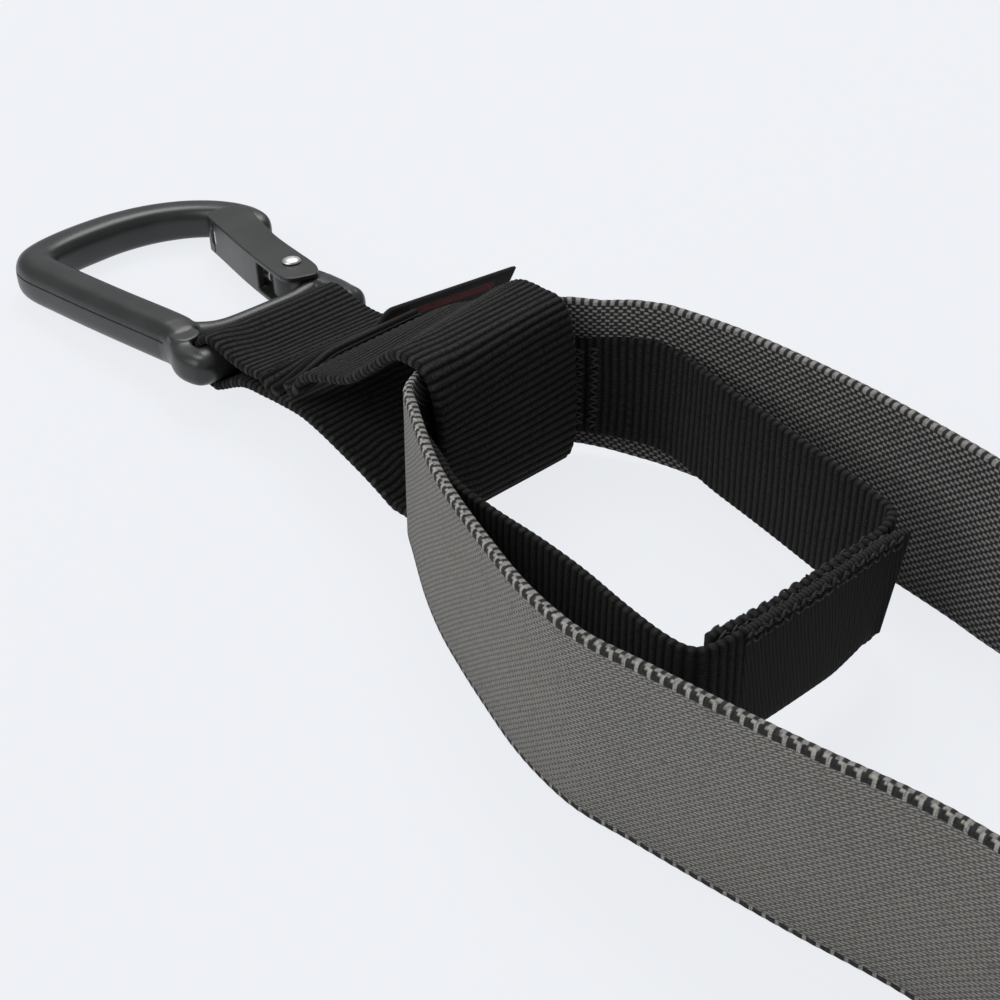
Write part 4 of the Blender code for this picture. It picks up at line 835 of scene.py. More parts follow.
@dataclass
class Strip:
    """A length of webbing: centre line, half its width as a vector, thickness and ribs.

    The rib's depth is cut into both faces, and the edges draw in a little between ribs. waver and
    kink push the ribs along the strip, shape moves its points along, sideways and up, swell is
    the share of the thickness, and the finer weave starts at fine_from.
    """

    name: str
    line: list[Vector]
    across: Vector
    thick: float
    rib_pitch: float = 1.8 * MM
    rib_depth: float = 0.22 * MM
    step: float = 0.30 * MM
    columns: int = 8
    edge_pinch: float = 0.12 * MM
    waver: float = 0.0
    kink: float = 0.0
    sag: Sag | None = None
    leaning: bool = False
    shape: Callable[[float, float], Vector] | None = None
    swell: Callable[[float], float] | None = None
    fine_from: float = math.inf
    seed: int = 1
    spots: list[Vector] = field(default_factory=list)
    lengths: list[float] = field(default_factory=list)

    def __post_init__(self) -> None:
        """Space the centre line evenly."""
        rough = [0.0]
        for before, here in zip(self.line, self.line[1:]):
            rough.append(rough[-1] + (here - before).length)
        count = max(8, round(rough[-1] / self.step))
        self.lengths = [rough[-1] * i / count for i in range(count + 1)]
        index = 0
        for length in self.lengths:
            while index < len(rough) - 2 and rough[index + 1] < length:
                index += 1
            span = rough[index + 1] - rough[index] or 1.0
            t = (length - rough[index]) / span
            self.spots.append(self.line[index].lerp(self.line[index + 1], t))

    @property
    def total(self) -> float:
        """Length of the strip."""
        return self.lengths[-1]

    def axes(self, index: int) -> tuple[Vector, Vector, Vector]:
        """Directions along, across and out of the first face at a sample."""
        last = len(self.spots) - 1
        along = (self.spots[min(index + 1, last)] - self.spots[max(index - 1, 0)]).normalized()
        side = self.across.normalized()
        return along, side, along.cross(side).normalized()

    def half_thick(self, length: float) -> float:
        """Half the thickness at a distance along the strip."""
        return self.thick / 2 * (self.swell(length) if self.swell else 1.0)

    def at(self, length: float, across: float, face: int) -> tuple:
        """A point on one face and the directions there.

        Args:
            length: Distance along the strip.
            across: Distance from its middle.
            face: 1 or -1.

        Returns:
            The point, and the direction out of that face.
        """
        last = len(self.spots) - 1
        index = min(last, max(0, round(length / self.total * last)))
        _, side, out = self.axes(index)
        point = self.spots[index] + across * side + face * self.half_thick(length) * out
        return self.moved(point, index, across / self.across.length), face * out

    def moved(self, point: Vector, index: int, share: float) -> Vector:
        """A point after the strip's own shaping and the sag round the bend."""
        if self.shape:
            along, side, _ = self.axes(index)
            push = self.shape(self.lengths[index], share)
            point = point + push.x * along + push.y * side + Vector((0, 0, push.z))
        return self.sag(point, self.leaning) if self.sag else point

    def section(self) -> list[tuple[float, float, float]]:
        """Section points as share of the half width, share of the half thickness and face."""
        shares = [-1 + 2 * i / self.columns for i in range(self.columns + 1)]
        top = [(share, 1.0, 1.0) for share in shares]
        bottom = [(-share, -1.0, -1.0) for share in shares]
        ends = [(0.8, 0.75), (1.0, 0.0), (0.8, -0.75)]
        right = [(1.0, high, high) for _, high in ends]
        left = [(-1.0, -high, -high) for _, high in ends]
        return top + right + bottom + left

    def mesh(self) -> bpy.types.Mesh:
        """The strip as a closed mesh with its coordinates in an attribute."""
        half = self.across.length
        inset = self.thick * 0.30
        section = self.section()
        draw = random.Random(self.seed)
        draws = len(self.spots) // DRAW_EVERY + 5
        phases = [draw.uniform(0, 2 * math.pi) for _ in range(draws)][-3:]
        points, marks = [], []
        for index, (spot, length) in enumerate(zip(self.spots, self.lengths)):
            _, side, out = self.axes(index)
            full = self.half_thick(length)
            for share, high, face in section:
                warped = length + self.warp(length, share, phases)
                groove = 1 - abs(math.sin(math.pi * warped / self.rib_pitch))
                groove *= 1 - 0.75 * ease((length - self.fine_from) / (4 * MM) + 0.5)
                edge = abs(share) == 1.0 and abs(high) < 1.0
                drawn_in = (0.35 if high else 0.0) if edge else 1.0
                reach = half - self.edge_pinch * groove - inset * drawn_in
                rise = high * (full - self.rib_depth * groove * (0.5 if edge else 1.0))
                points.append(self.moved(spot + share * reach * side + rise * out, index, share))
                marks += [warped / MM, share * half / MM, face]
        size = len(section)
        faces = [(a, d, c, b) for a, b, c, d in rings(len(self.spots), size)]
        faces.append(tuple(range(size)))
        faces.append(tuple(reversed(range(len(points) - size, len(points)))))
        mesh = mesh_from(self.name, points, faces)
        fine = sum(length < self.fine_from for length in self.lengths[:-1]) * size
        for polygon in mesh.polygons[fine:]:
            polygon.material_index = 1
        mark_strip(mesh, marks)
        face_outwards(mesh)
        return mesh

    def warp(self, length: float, share: float, phases: list[float]) -> float:
        """How far the ribs are pushed along the strip at a place."""
        if not self.waver and not self.kink:
            return 0.0
        slow = math.sin(length / (9.0 * MM) + phases[0] + 1.6 * share)
        quick = math.sin(length / (3.7 * MM) + phases[1] - 2.7 * share)
        bend = ease((share + 0.95) / 0.5)
        bend *= 0.5 + 0.5 * math.sin(length / (12.0 * MM) + phases[2])
        return self.waver * (0.65 * slow + 0.35 * quick) + self.kink * bend

    def lay(self, finish: Finish, *nodes: str, slot: str = "black_webbing") -> bpy.types.Object:
        """Make the strip a piece of the webbing that stands for the given solids."""
        return keep(new_piece(self.name, self.mesh(), finish), "webbing", slot, *nodes)


class Stitching:
    """Short thread floats along seams, gathered in one mesh."""

    float_share = 0.78

    def __init__(self, name: str, thread: float = 0.28 * MM) -> None:
        """Start an empty run of stitches."""
        self.name, self.thread = name, thread
        self.points: list[Vector] = []
        self.faces: list[tuple] = []
        self.draw = random.Random(17)

    def stitch(self, start: Vector, end: Vector, out: Vector) -> None:
        """Add one float from start to end, half sunk, its ends tucked in."""
        rows, sides = 6, 8
        way = end - start
        side = way.cross(out).normalized()
        first = len(self.points)
        for row in range(rows + 1):
            t = row / rows
            swell = math.sin(math.pi * (0.04 + 0.92 * t)) ** 0.5
            centre = start + way * t + out * self.thread * (0.75 * swell - 0.35)
            for k in range(sides):
                angle = 2 * math.pi * k / sides
                offset = math.cos(angle) * side + math.sin(angle) * out
                self.points.append(centre + self.thread * swell * offset)
        self.faces += [tuple(first + corner for corner in face) for face in rings(rows + 1, sides)]
        self.faces.append(tuple(reversed(range(first, first + sides))))
        self.faces.append(tuple(range(len(self.points) - sides, len(self.points))))

    def run(self, strip: Strip, start: tuple, end: tuple, face: int, pitch: float = 2.4 * MM,
            zigzag: float = 0.0, loose: float = 0.0) -> None:
        """Sew from one place of a strip to another.

        Args:
            strip: The webbing that is sewn.
            start: Distance along it and across it.
            end: The same for the far end.
            face: Which face shows the stitches.
            pitch: Length of a stitch and its gap.
            zigzag: Swing to each side of the line.
            loose: How far the stitches stray from their places.
        """
        first, last = Vector(start), Vector(end)
        count = max(1, round((last - first).length / pitch))
        way = (last - first) / count
        swing = Vector((-way.y, way.x)).normalized() * zigzag
        for i in range(count):
            sign = 1 if i % 2 else -1
            a = first + way * i + swing * sign
            b = first + way * (i + (1.0 if zigzag else self.float_share)) - swing * sign
            for place in (a, b):
                place += Vector([self.draw.uniform(-loose, loose) for _ in range(2)])
            low, out = strip.at(a.x, a.y, face)
            high, out_high = strip.at(b.x, b.y, face)
            self.stitch(low, high, (out + out_high).normalized())

    def lay(self) -> None:
        """Make all the stitches one piece of the webbing."""
        mesh = mesh_from(self.name, self.points, self.faces)
        keep(new_piece(self.name, mesh, THREAD), "webbing", "black_webbing")


# ---------------------------------------------------------------------------------------------
# Carabiner


@dataclass
class Carabiner:
    """Forged snap with a captive eye and a channel gate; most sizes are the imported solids'."""

    place: tuple = (-0.0631, -0.0073, 0.0104)
    heading: float = math.radians(4.5)
    tilt: float = math.radians(3.5)
    stock: float = 5.6 * MM
    slim: float = 0.93
    length: float = 85.6 * MM
    span: float = 52.8 * MM
    spine: float = 16.9 * MM
    eye_bar: float = 4.1 * MM
    eye_inside: float = 39.4 * MM
    inner_place: float = 11.0 * MM
    inner_radius: float = 2.7 * MM
    lobe: float = 5.0 * MM
    half_width: float = 6.0 * MM
    heel: float = 10.0 * MM
    height: float = 9.6 * MM
    sheet: float = 1.3 * MM
    web_start: float = 7.5 * MM
    web_beyond: float = 3.9 * MM
    gap: float = 0.4 * MM
    hinge: tuple = (0.24416, 0.72917)
    latch: tuple = (0.65771, 0.90341)
    notch: float = 1.4 * MM
    pin_inward: float = 2.6 * MM
    pin_shown: float = 4.6 * MM
    pin_radius: float = 1.2 * MM
    window: tuple = (1.35 * MM, 1.8 * MM)
    rivet_head: tuple = (2.3 * MM, 0.3 * MM, 1.1 * MM)
    rivet_shank: float = 1.5 * MM
    gusset: tuple = (-9.7 * MM, -18.6 * MM)
    gusset_size: tuple = (3.6 * MM, 4.3 * MM)
    spring_ends: tuple = (3.6 * MM, 10.3 * MM)
    spring_turns: int = 5
    spring_radius: float = 2.3 * MM
    spring_wire: float = 0.3 * MM
    spring_room: float = 0.3 * MM
    plunger: tuple = (10.0 * MM, 1.6 * MM, 1.2 * MM, 2.4 * MM)
    plunger_place: float = 2.6 * MM
    frame_hole: float = 1.8 * MM
    gate_hole: float = 1.9 * MM
    pin_room: float = 0.2 * MM
    seat_reach: float = 0.7 * MM
    pin_reach: float = 0.4 * MM
    first_roll: tuple = (0.30 * MM, 9)
    last_roll: tuple = (0.26 * MM, 4, 0.45)
    gate_roll: tuple = (0.20 * MM, 11, 0.6)
    parting_part: tuple = (0.28, 0.86)
    parting_place: tuple = (0.978, 0.34)
    parting_width: float = 0.22 * MM
    frame_shares: tuple = (
        (-0.048, -0.077, 0.16), (-0.040, -0.077, 0.44), (-0.023, -0.079, 0.645),
        (-0.000, -0.085, 0.715), (0.030, -0.093, 0.705), (0.058, -0.087, 0.70),
        (0.089, -0.057, 0.78), (0.126, -0.021, 0.89), (0.169, -0.002, 0.96),
        (0.222, 0.000, 1.00), (0.467, -0.023, 1.00), (0.678, -0.036, 1.00),
        (0.812, -0.038, 1.00), (0.873, 0.002, 1.00), (0.907, 0.087, 0.98),
        (0.927, 0.216, 0.96), (0.934, 0.354, 0.95), (0.933, 0.500, 0.93),
        (0.912, 0.661, 0.91), (0.870, 0.799, 0.89), (0.815, 0.900, 0.865),
        (0.755, 0.964, 0.845), (0.693, 0.996, 0.82), (0.640, 1.000, 0.77),
        (0.607, 0.994, 0.64), (0.589, 0.989, 0.46), (0.581, 0.985, 0.25),
    )
    arm_shares: tuple = (
        (-0.047, 0.725, 0.16), (-0.039, 0.727, 0.43), (-0.022, 0.729, 0.64),
        (-0.000, 0.733, 0.73), (0.035, 0.742, 0.71), (0.082, 0.750, 0.71),
        (0.158, 0.744, 0.75), (0.244, 0.729, 0.77),
    )
    inner_shares: tuple = (
        (-1.02, 1.45, 1.65), (-0.82, 1.30, 1.60), (-0.62, 1.12, 1.38), (-0.40, 1.02, 1.12),
        (-0.10, 1.0, 1.0), (0.60, 1.0, 1.0), (0.85, 1.03, 1.1), (1.12, 1.10, 1.4),
    )
    gate_shares: tuple = (
        (1.164, -0.083), (1.156, -0.483), (1.120, -0.717), (1.055, -0.800),
        (0.842, -0.750), (0.566, -0.617), (0.383, -0.600), (0.112, -0.683),
        (-0.033, -0.733), (-0.142, -0.717), (-0.224, -0.550), (-0.262, -0.300),
        (-0.262, 0.033), (-0.251, 0.467), (-0.230, 0.767), (-0.191, 0.917),
        (-0.128, 0.983), (0.115, 1.050), (0.440, 1.083), (0.847, 1.033),
        (1.038, 1.017), (1.107, 0.983), (1.142, 0.767), (1.158, 0.367),
    )
    hook_shares: tuple = (
        (0.907, -0.933), (1.011, -0.867), (1.126, -0.600), (1.219, -0.200),
        (1.191, 0.367), (1.137, 0.650), (1.066, 0.700), (0.940, 0.700),
        (0.913, 0.400), (0.896, -0.167),
    )

    @property
    def matrix(self) -> Matrix:
        """Own axes in the row frame: x away from the tip, y across, z up."""
        turn_axes = Matrix.Rotation(self.heading, 4, "Z") @ Matrix.Rotation(-self.tilt, 4, "Y")
        return Matrix.Translation(self.place) @ turn_axes

    def knot(self, along: float, across: float) -> Vector:
        """A point of the plane from its shares of length and span."""
        return Vector((-along * self.length, across * self.span - self.spine, 0.0))

    def gate_axes(self) -> tuple[Vector, Vector, Vector, float]:
        """Hinge point, direction to the latch, inward direction and length."""
        hinge, latch = self.knot(*self.hinge), self.knot(*self.latch)
        along = (latch - hinge).normalized()
        return hinge, along, Vector((-along.y, along.x, 0.0)), (latch - hinge).length

    def in_gate(self, along_by: float, inward_by: float, up: float = 0.0) -> Vector:
        """A point given in the gate's axes."""
        hinge, along, inward, _ = self.gate_axes()
        return hinge + along_by * along + inward_by * inward + Vector((0, 0, up))

    def plan(self, shares: tuple, grow: float = 0.0, steps: int = 3) -> list[Vector]:
        """A smooth outline from shares of the gate's length and half width, moved outwards."""
        length = self.gate_axes()[3]
        points = [self.in_gate(x * length, y * self.half_width) for x, y in shares]
        looped = [points[-1], *points, points[0], points[1]]
        line = smooth_line(looped, steps)[steps:-2 * steps]
        grown = []
        for before, here, after in zip([line[-1], *line], line, [*line[1:], line[0]]):
            way = (after - before).normalized()
            grown.append(here + grow * Vector((-way.y, way.x, 0.0)))
        return grown

    def swept(self, shares: tuple, name: str) -> bpy.types.Mesh:
        """A stretch of the forged stock, a little squarer than round."""
        knots = [Vector((*self.knot(x, y).xy, r)) for x, y, r in shares]
        line = smooth_line(knots, 6)
        centres = [Vector((spot.x, spot.y, 0.0)) for spot in line]
        radii = [self.slim * self.stock * spot.z for spot in line]
        return tube(name, centres, radii, 72, power=3.0, up=Vector((0, 0, 1)))

    def box(self, low: tuple, high: tuple) -> bpy.types.Mesh:
        """A cutting box in the gate's axes."""
        corners = [(low[0], low[1]), (high[0], low[1]), (high[0], high[1]), (low[0], high[1])]
        outline = [self.in_gate(x, y) for x, y in corners]
        return outline_plate("box", outline, low[2], high[2])

    def bar(self, place: Vector, radius: float, low: float, high: float) -> bpy.types.Mesh:
        """An upright cutter or boss."""
        circle = arc((0, 0), 1, 0, 2 * math.pi, 40)[:-1]
        outline = [place + radius * Vector((x, y, 0)) for x, y in circle]
        return outline_plate("bar", outline, low, high)

    def forging(self) -> bpy.types.Object:
        """Frame: spine, tip, nose, eye bar, inner bar and hinge lobe, rolled over at its edges."""
        frame = new_piece("forged_frame", self.swept(self.frame_shares, "forged_frame"), ANODISED)
        boolean(frame, self.swept(self.arm_shares, "arm"), "UNION")
        half = self.eye_inside / 2
        wall = [Vector((x, y, 0)) for x, y in (
            (-self.inner_place, -half), (0, -half), (0, half), (-self.inner_place, half))]
        boolean(frame, outline_plate("wall", wall, -self.height, self.height), "DIFFERENCE")
        end = half + self.eye_bar / 2
        bar = tube("bar", [Vector((0, -end, 0)), Vector((0, 0, 0)), Vector((0, end, 0))],
                   [self.eye_bar] * 3, 40)
        boolean(frame, bar, "UNION")
        line = smooth_line(
            [(-lean * self.inner_place, y * half, 0) for y, lean, _ in self.inner_shares], 4)
        share = smooth_line([(r, 0, 0) for _, _, r in self.inner_shares], 4)
        boolean(frame, tube("inner", line, [self.inner_radius * s.x for s in share], 32), "UNION")
        radius, rise = self.gusset_size
        boolean(frame, self.bar(Vector((*self.gusset, 0)), radius, -rise, rise), "UNION")
        soften(frame, *self.first_roll)
        hinge, _, _, length = self.gate_axes()
        tongue = self.height / 2 - self.sheet - self.gap
        for low, high in ((tongue, self.height), (-self.height, -tongue)):
            outline = self.plan(self.gate_shares, self.gap)
            boolean(frame, outline_plate("relief", outline, low, high), "DIFFERENCE")
            boolean(frame, self.bar(hinge, self.heel, low, high), "DIFFERENCE")
        boolean(frame, self.bar(hinge, self.lobe, -tongue, tongue), "UNION")
        hook = outline_plate("hook", self.plan(self.hook_shares), -tongue, tongue)
        boolean(frame, hook, "UNION")
        notch = self.notch + self.gap
        deep = 2 * self.half_width
        boolean(frame, self.box((length - notch, self.pin_inward, -self.height),
                                (length + notch, deep, self.height)), "DIFFERENCE")
        seat = self.in_gate(length, self.pin_inward)
        boolean(frame, self.bar(seat, notch, -self.height, self.height), "DIFFERENCE")
        web = self.half_width - self.sheet - self.gap
        boolean(frame, self.box((self.web_start - self.gap, web, -self.height / 2),
                                (length + self.web_beyond + self.gap, deep, self.height / 2)),
                "DIFFERENCE")
        boolean(frame, self.bar(hinge, self.frame_hole, -self.height, self.height), "DIFFERENCE")
        soften(frame, *self.last_roll)
        boolean(frame, self.parting(), "DIFFERENCE")
        frame.data.shade_smooth()
        return frame

    def parting(self) -> bpy.types.Mesh:
        """Thin cutter for the forging's parting line, a little above the middle outside."""
        knots = [Vector((*self.knot(x, y).xy, r)) for x, y, r in self.frame_shares]
        line = smooth_line(knots, 4)
        start, end = self.parting_part
        line = line[int(start * len(line)):int(end * len(line))]
        beside, above = self.parting_place
        centres = []
        for before, here, after in zip(line, line[1:], line[2:]):
            way = Vector((after.x - before.x, after.y - before.y, 0)).normalized()
            radius = self.slim * self.stock * here.z
            spot = Vector((here.x, here.y, 0)) - beside * radius * way.cross(Vector((0, 0, 1)))
            centres.append(spot + Vector((0, 0, above * radius)))
        return tube("parting", centres, [self.parting_width] * len(centres), 8)

    def channel(self) -> bpy.types.Object:
        """Gate: two flanges and a web, folded from sheet, with rolled edges."""
        half, inside = self.height / 2, self.height / 2 - self.sheet
        length = self.gate_axes()[3]
        gate = new_piece("channel_gate", outline_plate(
            "channel_gate", self.plan(self.gate_shares), -half, half), ANODISED)
        far, near = length + 3 * self.half_width, -2 * self.heel
        outer, deep = -2 * self.half_width, 2 * self.half_width
        web = self.half_width - self.sheet
        end = length + self.web_beyond
        window, rise = self.window
        for low, high in (
            ((near, outer, -inside), (far, web, inside)),
            ((near, outer, -inside), (self.web_start, deep, inside)),
            ((end, outer, -inside), (far, deep, inside)),
            ((length - window, outer, -rise), (length + window, deep, rise)),
        ):
            boolean(gate, self.box(low, high), "DIFFERENCE")
        boolean(gate, self.bar(self.in_gate(0, 0), self.gate_hole, -self.height, self.height),
                "DIFFERENCE")
        seat, bore = self.in_gate(length, self.pin_shown), self.pin_radius + self.pin_room
        depth = inside + self.seat_reach
        boolean(gate, self.bar(seat, bore, -depth, depth), "DIFFERENCE")
        soften(gate, *self.gate_roll)
        return gate

    def fittings(self) -> dict[str, bpy.types.Object]:
        """Rivet, latch pin, plunger and return spring."""
        half = self.height / 2
        rim, head, top = self.rivet_head
        head, top = half + head, half + top
        dome = [(0, top), *[(rim * math.sin(a), head + (top - head) * math.cos(a))
                            for a in (math.pi / 2 * k / 8 for k in range(1, 9))]]
        dome.append((self.rivet_shank, head))
        profile = dome + [(radius, -height) for radius, height in reversed(dome)]
        rivet = new_piece("domed_rivet", turn("domed_rivet", profile), STEEL)
        rivet.matrix_world = Matrix.Translation(self.in_gate(0, 0))
        length = self.gate_axes()[3]
        reach = half - self.sheet + self.pin_reach
        profile = rounded([(0, reach), (self.pin_radius, reach), (self.pin_radius, -reach),
                           (0, -reach)], 0.2 * MM)
        pin = new_piece("latch_pin", turn("latch_pin", profile, 40), STEEL)
        pin.matrix_world = Matrix.Translation(self.in_gate(length, self.pin_shown))
        _, along, inward, _ = self.gate_axes()
        axes = Matrix((inward, Vector((0, 0, 1)), along)).transposed().to_4x4()
        beside = self.half_width - self.sheet - self.spring_room - self.plunger_place
        spot = Matrix.Translation(self.in_gate(self.lobe + self.spring_room, beside)) @ axes
        long, stem, foot, flange = self.plunger
        profile = rounded([(0, long), (stem, long), (stem, foot), (flange, foot), (flange, 0),
                           (0, 0)], 0.2 * MM)
        plunger = new_piece("spring_plunger", turn("spring_plunger", profile, 40), STEEL)
        plunger.matrix_world = spot
        line = coil(self.spring_radius, *self.spring_ends, self.spring_turns, 28)
        radii = [self.spring_wire] * len(line)
        spring = new_piece("return_spring", tube("return_spring", line, radii, 10), STEEL)
        spring.matrix_world = spot
        return {"gate_rivet": rivet, "gate_latch_pin": pin, "gate_plunger": plunger,
                "gate_spring": spring}

    def build(self) -> None:
        """Build, place and dress the whole snap."""
        rows = [(self.forging(), "carabiner_frame", "carabiner", "black_metal"),
                (self.channel(), "carabiner_gate", "gate", "black_metal")]
        for node, piece in self.fittings().items():
            rows.append((piece, node, "carabiner" if node == "gate_rivet" else "gate",
                         "bright_steel"))
        for piece, node, body, slot in rows:
            piece.data.transform(self.matrix @ piece.matrix_world)
            piece.matrix_world = Matrix.Identity(4)
            keep(piece, body, slot, node)


# ---------------------------------------------------------------------------------------------
# Anchor loop and label tab


@dataclass
class AnchorLoop:
    """Black webbing from the eye bar round the main strap and back to two raised lips."""

    eye: tuple = (-0.0631, -0.0073)
    bar_height: float = 10.4 * MM
    bar: float = 4.1 * MM
    heading: float = math.radians(4.5)
    length: float = 75.6 * MM
    height: float = 43.0 * MM
    width: float = 38.0 * MM
    thick: float = 2.2 * MM
    seam: float = 24.9 * MM
    lip_spacing: float = 4.4 * MM
    lip_bend: float = 2.2 * MM
    eye_lip: tuple = (14.6 * MM, 2.6 * MM)
    loop_lip: tuple = (18.2 * MM, 1.8 * MM)
    lower: tuple = (
        (0.139, 0.223), (0.243, 0.244), (0.328, 0.253), (0.417, 0.253), (0.503, 0.219),
        (0.587, 0.172), (0.669, 0.123), (0.731, 0.079), (0.771, 0.047),
    )
    face: tuple = (
        (0.950, 0.049), (0.986, 0.112), (0.999, 0.198), (1.003, 0.293), (1.000, 0.512),
        (0.993, 0.698), (0.980, 0.819), (0.962, 0.907), (0.935, 0.962), (0.896, 0.979),
        (0.856, 0.981), (0.822, 0.968), (0.784, 0.922), (0.745, 0.857), (0.708, 0.797),
        (0.676, 0.742), (0.642, 0.688), (0.602, 0.637), (0.517, 0.563), (0.454, 0.507),
    )
    flat: tuple = (0.800, 0.828, 0.861, 0.898)
    upper: tuple = ((0.110, 0.330), (0.180, 0.323))
    far_sag: tuple = (
        (-0.036, 0.0), (-0.024, -0.0026), (-0.013, -0.0012), (-0.006, 0.0008),
        (-0.002, 0.0024), (0.002, 0.0028), (0.006, 0.0021), (0.010, 0.0008), (0.014, 0.0),
    )
    lip_press: float = 3.4 * MM
    lip_round: float = 1.6 * MM
    lip_fat: float = 0.45
    lip_tip: float = 0.12
    press_from: float = 0.25
    press_back: tuple = (7.5 * MM, 5.0 * MM)
    fat_back: tuple = (6.5 * MM, 4.0 * MM)
    seam_back: float = 6.6 * MM
    tab: tuple = (3.0 * MM, 52.0 * MM)
    tab_size: tuple = (5.0 * MM, 1.6 * MM)
    tab_top: float = 22.6 * MM
    tab_droop: float = 4.2 * MM
    tab_ramp: tuple = (6.5 * MM, 11.0 * MM)
    tab_slant: float = 4.0 * MM
    tab_slant_from: float = 0.86
    tab_rim: float = 0.04
    tab_puff: float = 0.22
    tab_close: float = 0.8
    tab_rows: tuple = (60, 6)

    def point(self, along: float, height: float, sideways: float = 0.0) -> Vector:
        """A point along the loop from the eye bar, up, and across its width."""
        c, s = math.cos(self.heading), math.sin(self.heading)
        return Vector((self.eye[0] + along * c - sideways * s,
                       self.eye[1] + along * s + sideways * c, height))

    def line(self) -> list[Vector]:
        """Centre line from one raised lip round the eye bar and the strap to the other."""
        half = self.thick / 2
        first, second = self.seam - self.lip_spacing / 2, self.seam + self.lip_spacing / 2
        base, rise = self.eye_lip
        line = [(first, base + rise)]
        line += arc((first - self.lip_bend, base + self.lip_bend), self.lip_bend,
                    0, -math.pi / 2, 3)
        line += [(s * self.length, h * self.height) for s, h in reversed(self.upper)]
        wrap = self.bar + 0.3 * MM + half
        line += arc((0.0, self.bar_height), wrap, math.radians(75), math.radians(285), 14)
        line += [(s * self.length, h * self.height) for s, h in self.lower]
        line += [(s * self.length, half) for s in self.flat]
        line += [(s * self.length, h * self.height) for s, h in self.face]
        base, rise = self.loop_lip
        line += arc((second + self.lip_bend, base + self.lip_bend), self.lip_bend,
                    -math.pi / 2, -math.pi, 3)
        line += [(second, base + rise)]
        spots = smooth_line([Vector((x, z, 0.0)) for x, z in line], 4)
        return [self.point(spot.x, max(spot.y, half)) for spot in spots]

    def webbing(self) -> Strip:
        """The ribbed strip of the loop."""
        across = self.point(0, 0, self.width / 2) - self.point(0, 0)
        strip = Strip("anchor_webbing", self.line(), across, self.thick, rib_pitch=1.75 * MM,
                      rib_depth=0.24 * MM, step=0.25 * MM, columns=18, edge_pinch=0.10 * MM,
                      waver=0.35 * MM, kink=2.6 * MM, sag=Sag(far=self.far_sag), seed=5)
        strip.shape = lambda length, share: Vector((0, 0, -self.press(strip, length, share)))
        strip.swell = lambda length: self.roll(strip, length)
        return strip

    def press(self, strip: Strip, length: float, share: float) -> float:
        """How far the lips are pressed down towards the near edge."""
        back = min(length, strip.total - length)
        reach, fade = self.press_back
        near = ease((-share - self.press_from) / (1 - self.press_from))
        return self.lip_press * near * ease((reach - back) / fade)

    def roll(self, strip: Strip, length: float) -> float:
        """Share of the thickness: the lips are fatter and end round."""
        back = min(length, strip.total - length)
        tip = min(1.0, back / self.lip_round)
        reach, fade = self.fat_back
        fat = 1 + self.lip_fat * ease((reach - back) / fade)
        return fat * max(self.lip_tip, math.sqrt(1 - (1 - tip) ** 2))

    def label(self) -> bpy.types.Object:
        """The folded tab in the seam, soft at its edges, with its strip coordinates."""
        start, end = self.tab
        tall, thick = self.tab_size
        rows, columns = self.tab_rows
        climb, climb_length = self.tab_ramp
        shares = [k / columns for k in range(columns + 1)]
        ring = [(share, 1.0) for share in shares] + [(1.0 + self.tab_rim, 0.0)]
        ring += [(share, -1.0) for share in reversed(shares)] + [(-self.tab_rim, 0.0)]
        points, marks = [], []
        for row in range(rows + 1):
            t = row / rows
            out = start + (end - start) * t
            droop = self.tab_droop * t + climb * (1 - ease((out - start) / climb_length))
            low, high = self.tab_top - tall - droop, self.tab_top - droop
            slant = self.tab_slant * max(0.0, (t - self.tab_slant_from) / (1 - self.tab_slant_from))
            closing = self.tab_close if row == rows else 1.0
            for share, face in ring:
                within = min(1.0, max(0.0, share))
                pull = slant * (1 - within)
                puff = 1 - self.tab_puff + self.tab_puff * math.sin(math.pi * within)
                points.append(self.point(self.seam + face * thick / 2 * puff * closing,
                                         low + (high - low) * share, out - pull))
                marks += [(out - pull) / MM, (share - 0.5) * tall / MM, face]
        size = len(ring)
        faces = [(a, d, c, b) for a, b, c, d in rings(rows + 1, size)]
        faces += [tuple(range(size)), tuple(reversed(range(rows * size, (rows + 1) * size)))]
        mesh = mesh_from("label_cloth_tab", points, faces)
        mark_strip(mesh, marks)
        return new_piece("label_cloth_tab", mesh, TabCloth())

    def build(self) -> None:
        """Webbing, seam stitches and tab."""
        strip = self.webbing()
        strip.lay(ANCHOR_RIBBED, "anchor_loop")
        seam = Stitching("anchor_seam_stitches", 0.15 * MM)
        half = self.width / 2 - 2 * MM
        for length in (self.seam_back, strip.total - self.seam_back):
            for face in (1, -1):
                seam.run(strip, (length, -half), (length, half), face, 2.2 * MM)
        seam.lay()
        keep(self.label(), "webbing", "label_cloth", "label_tab")


# ---------------------------------------------------------------------------------------------
# Straps


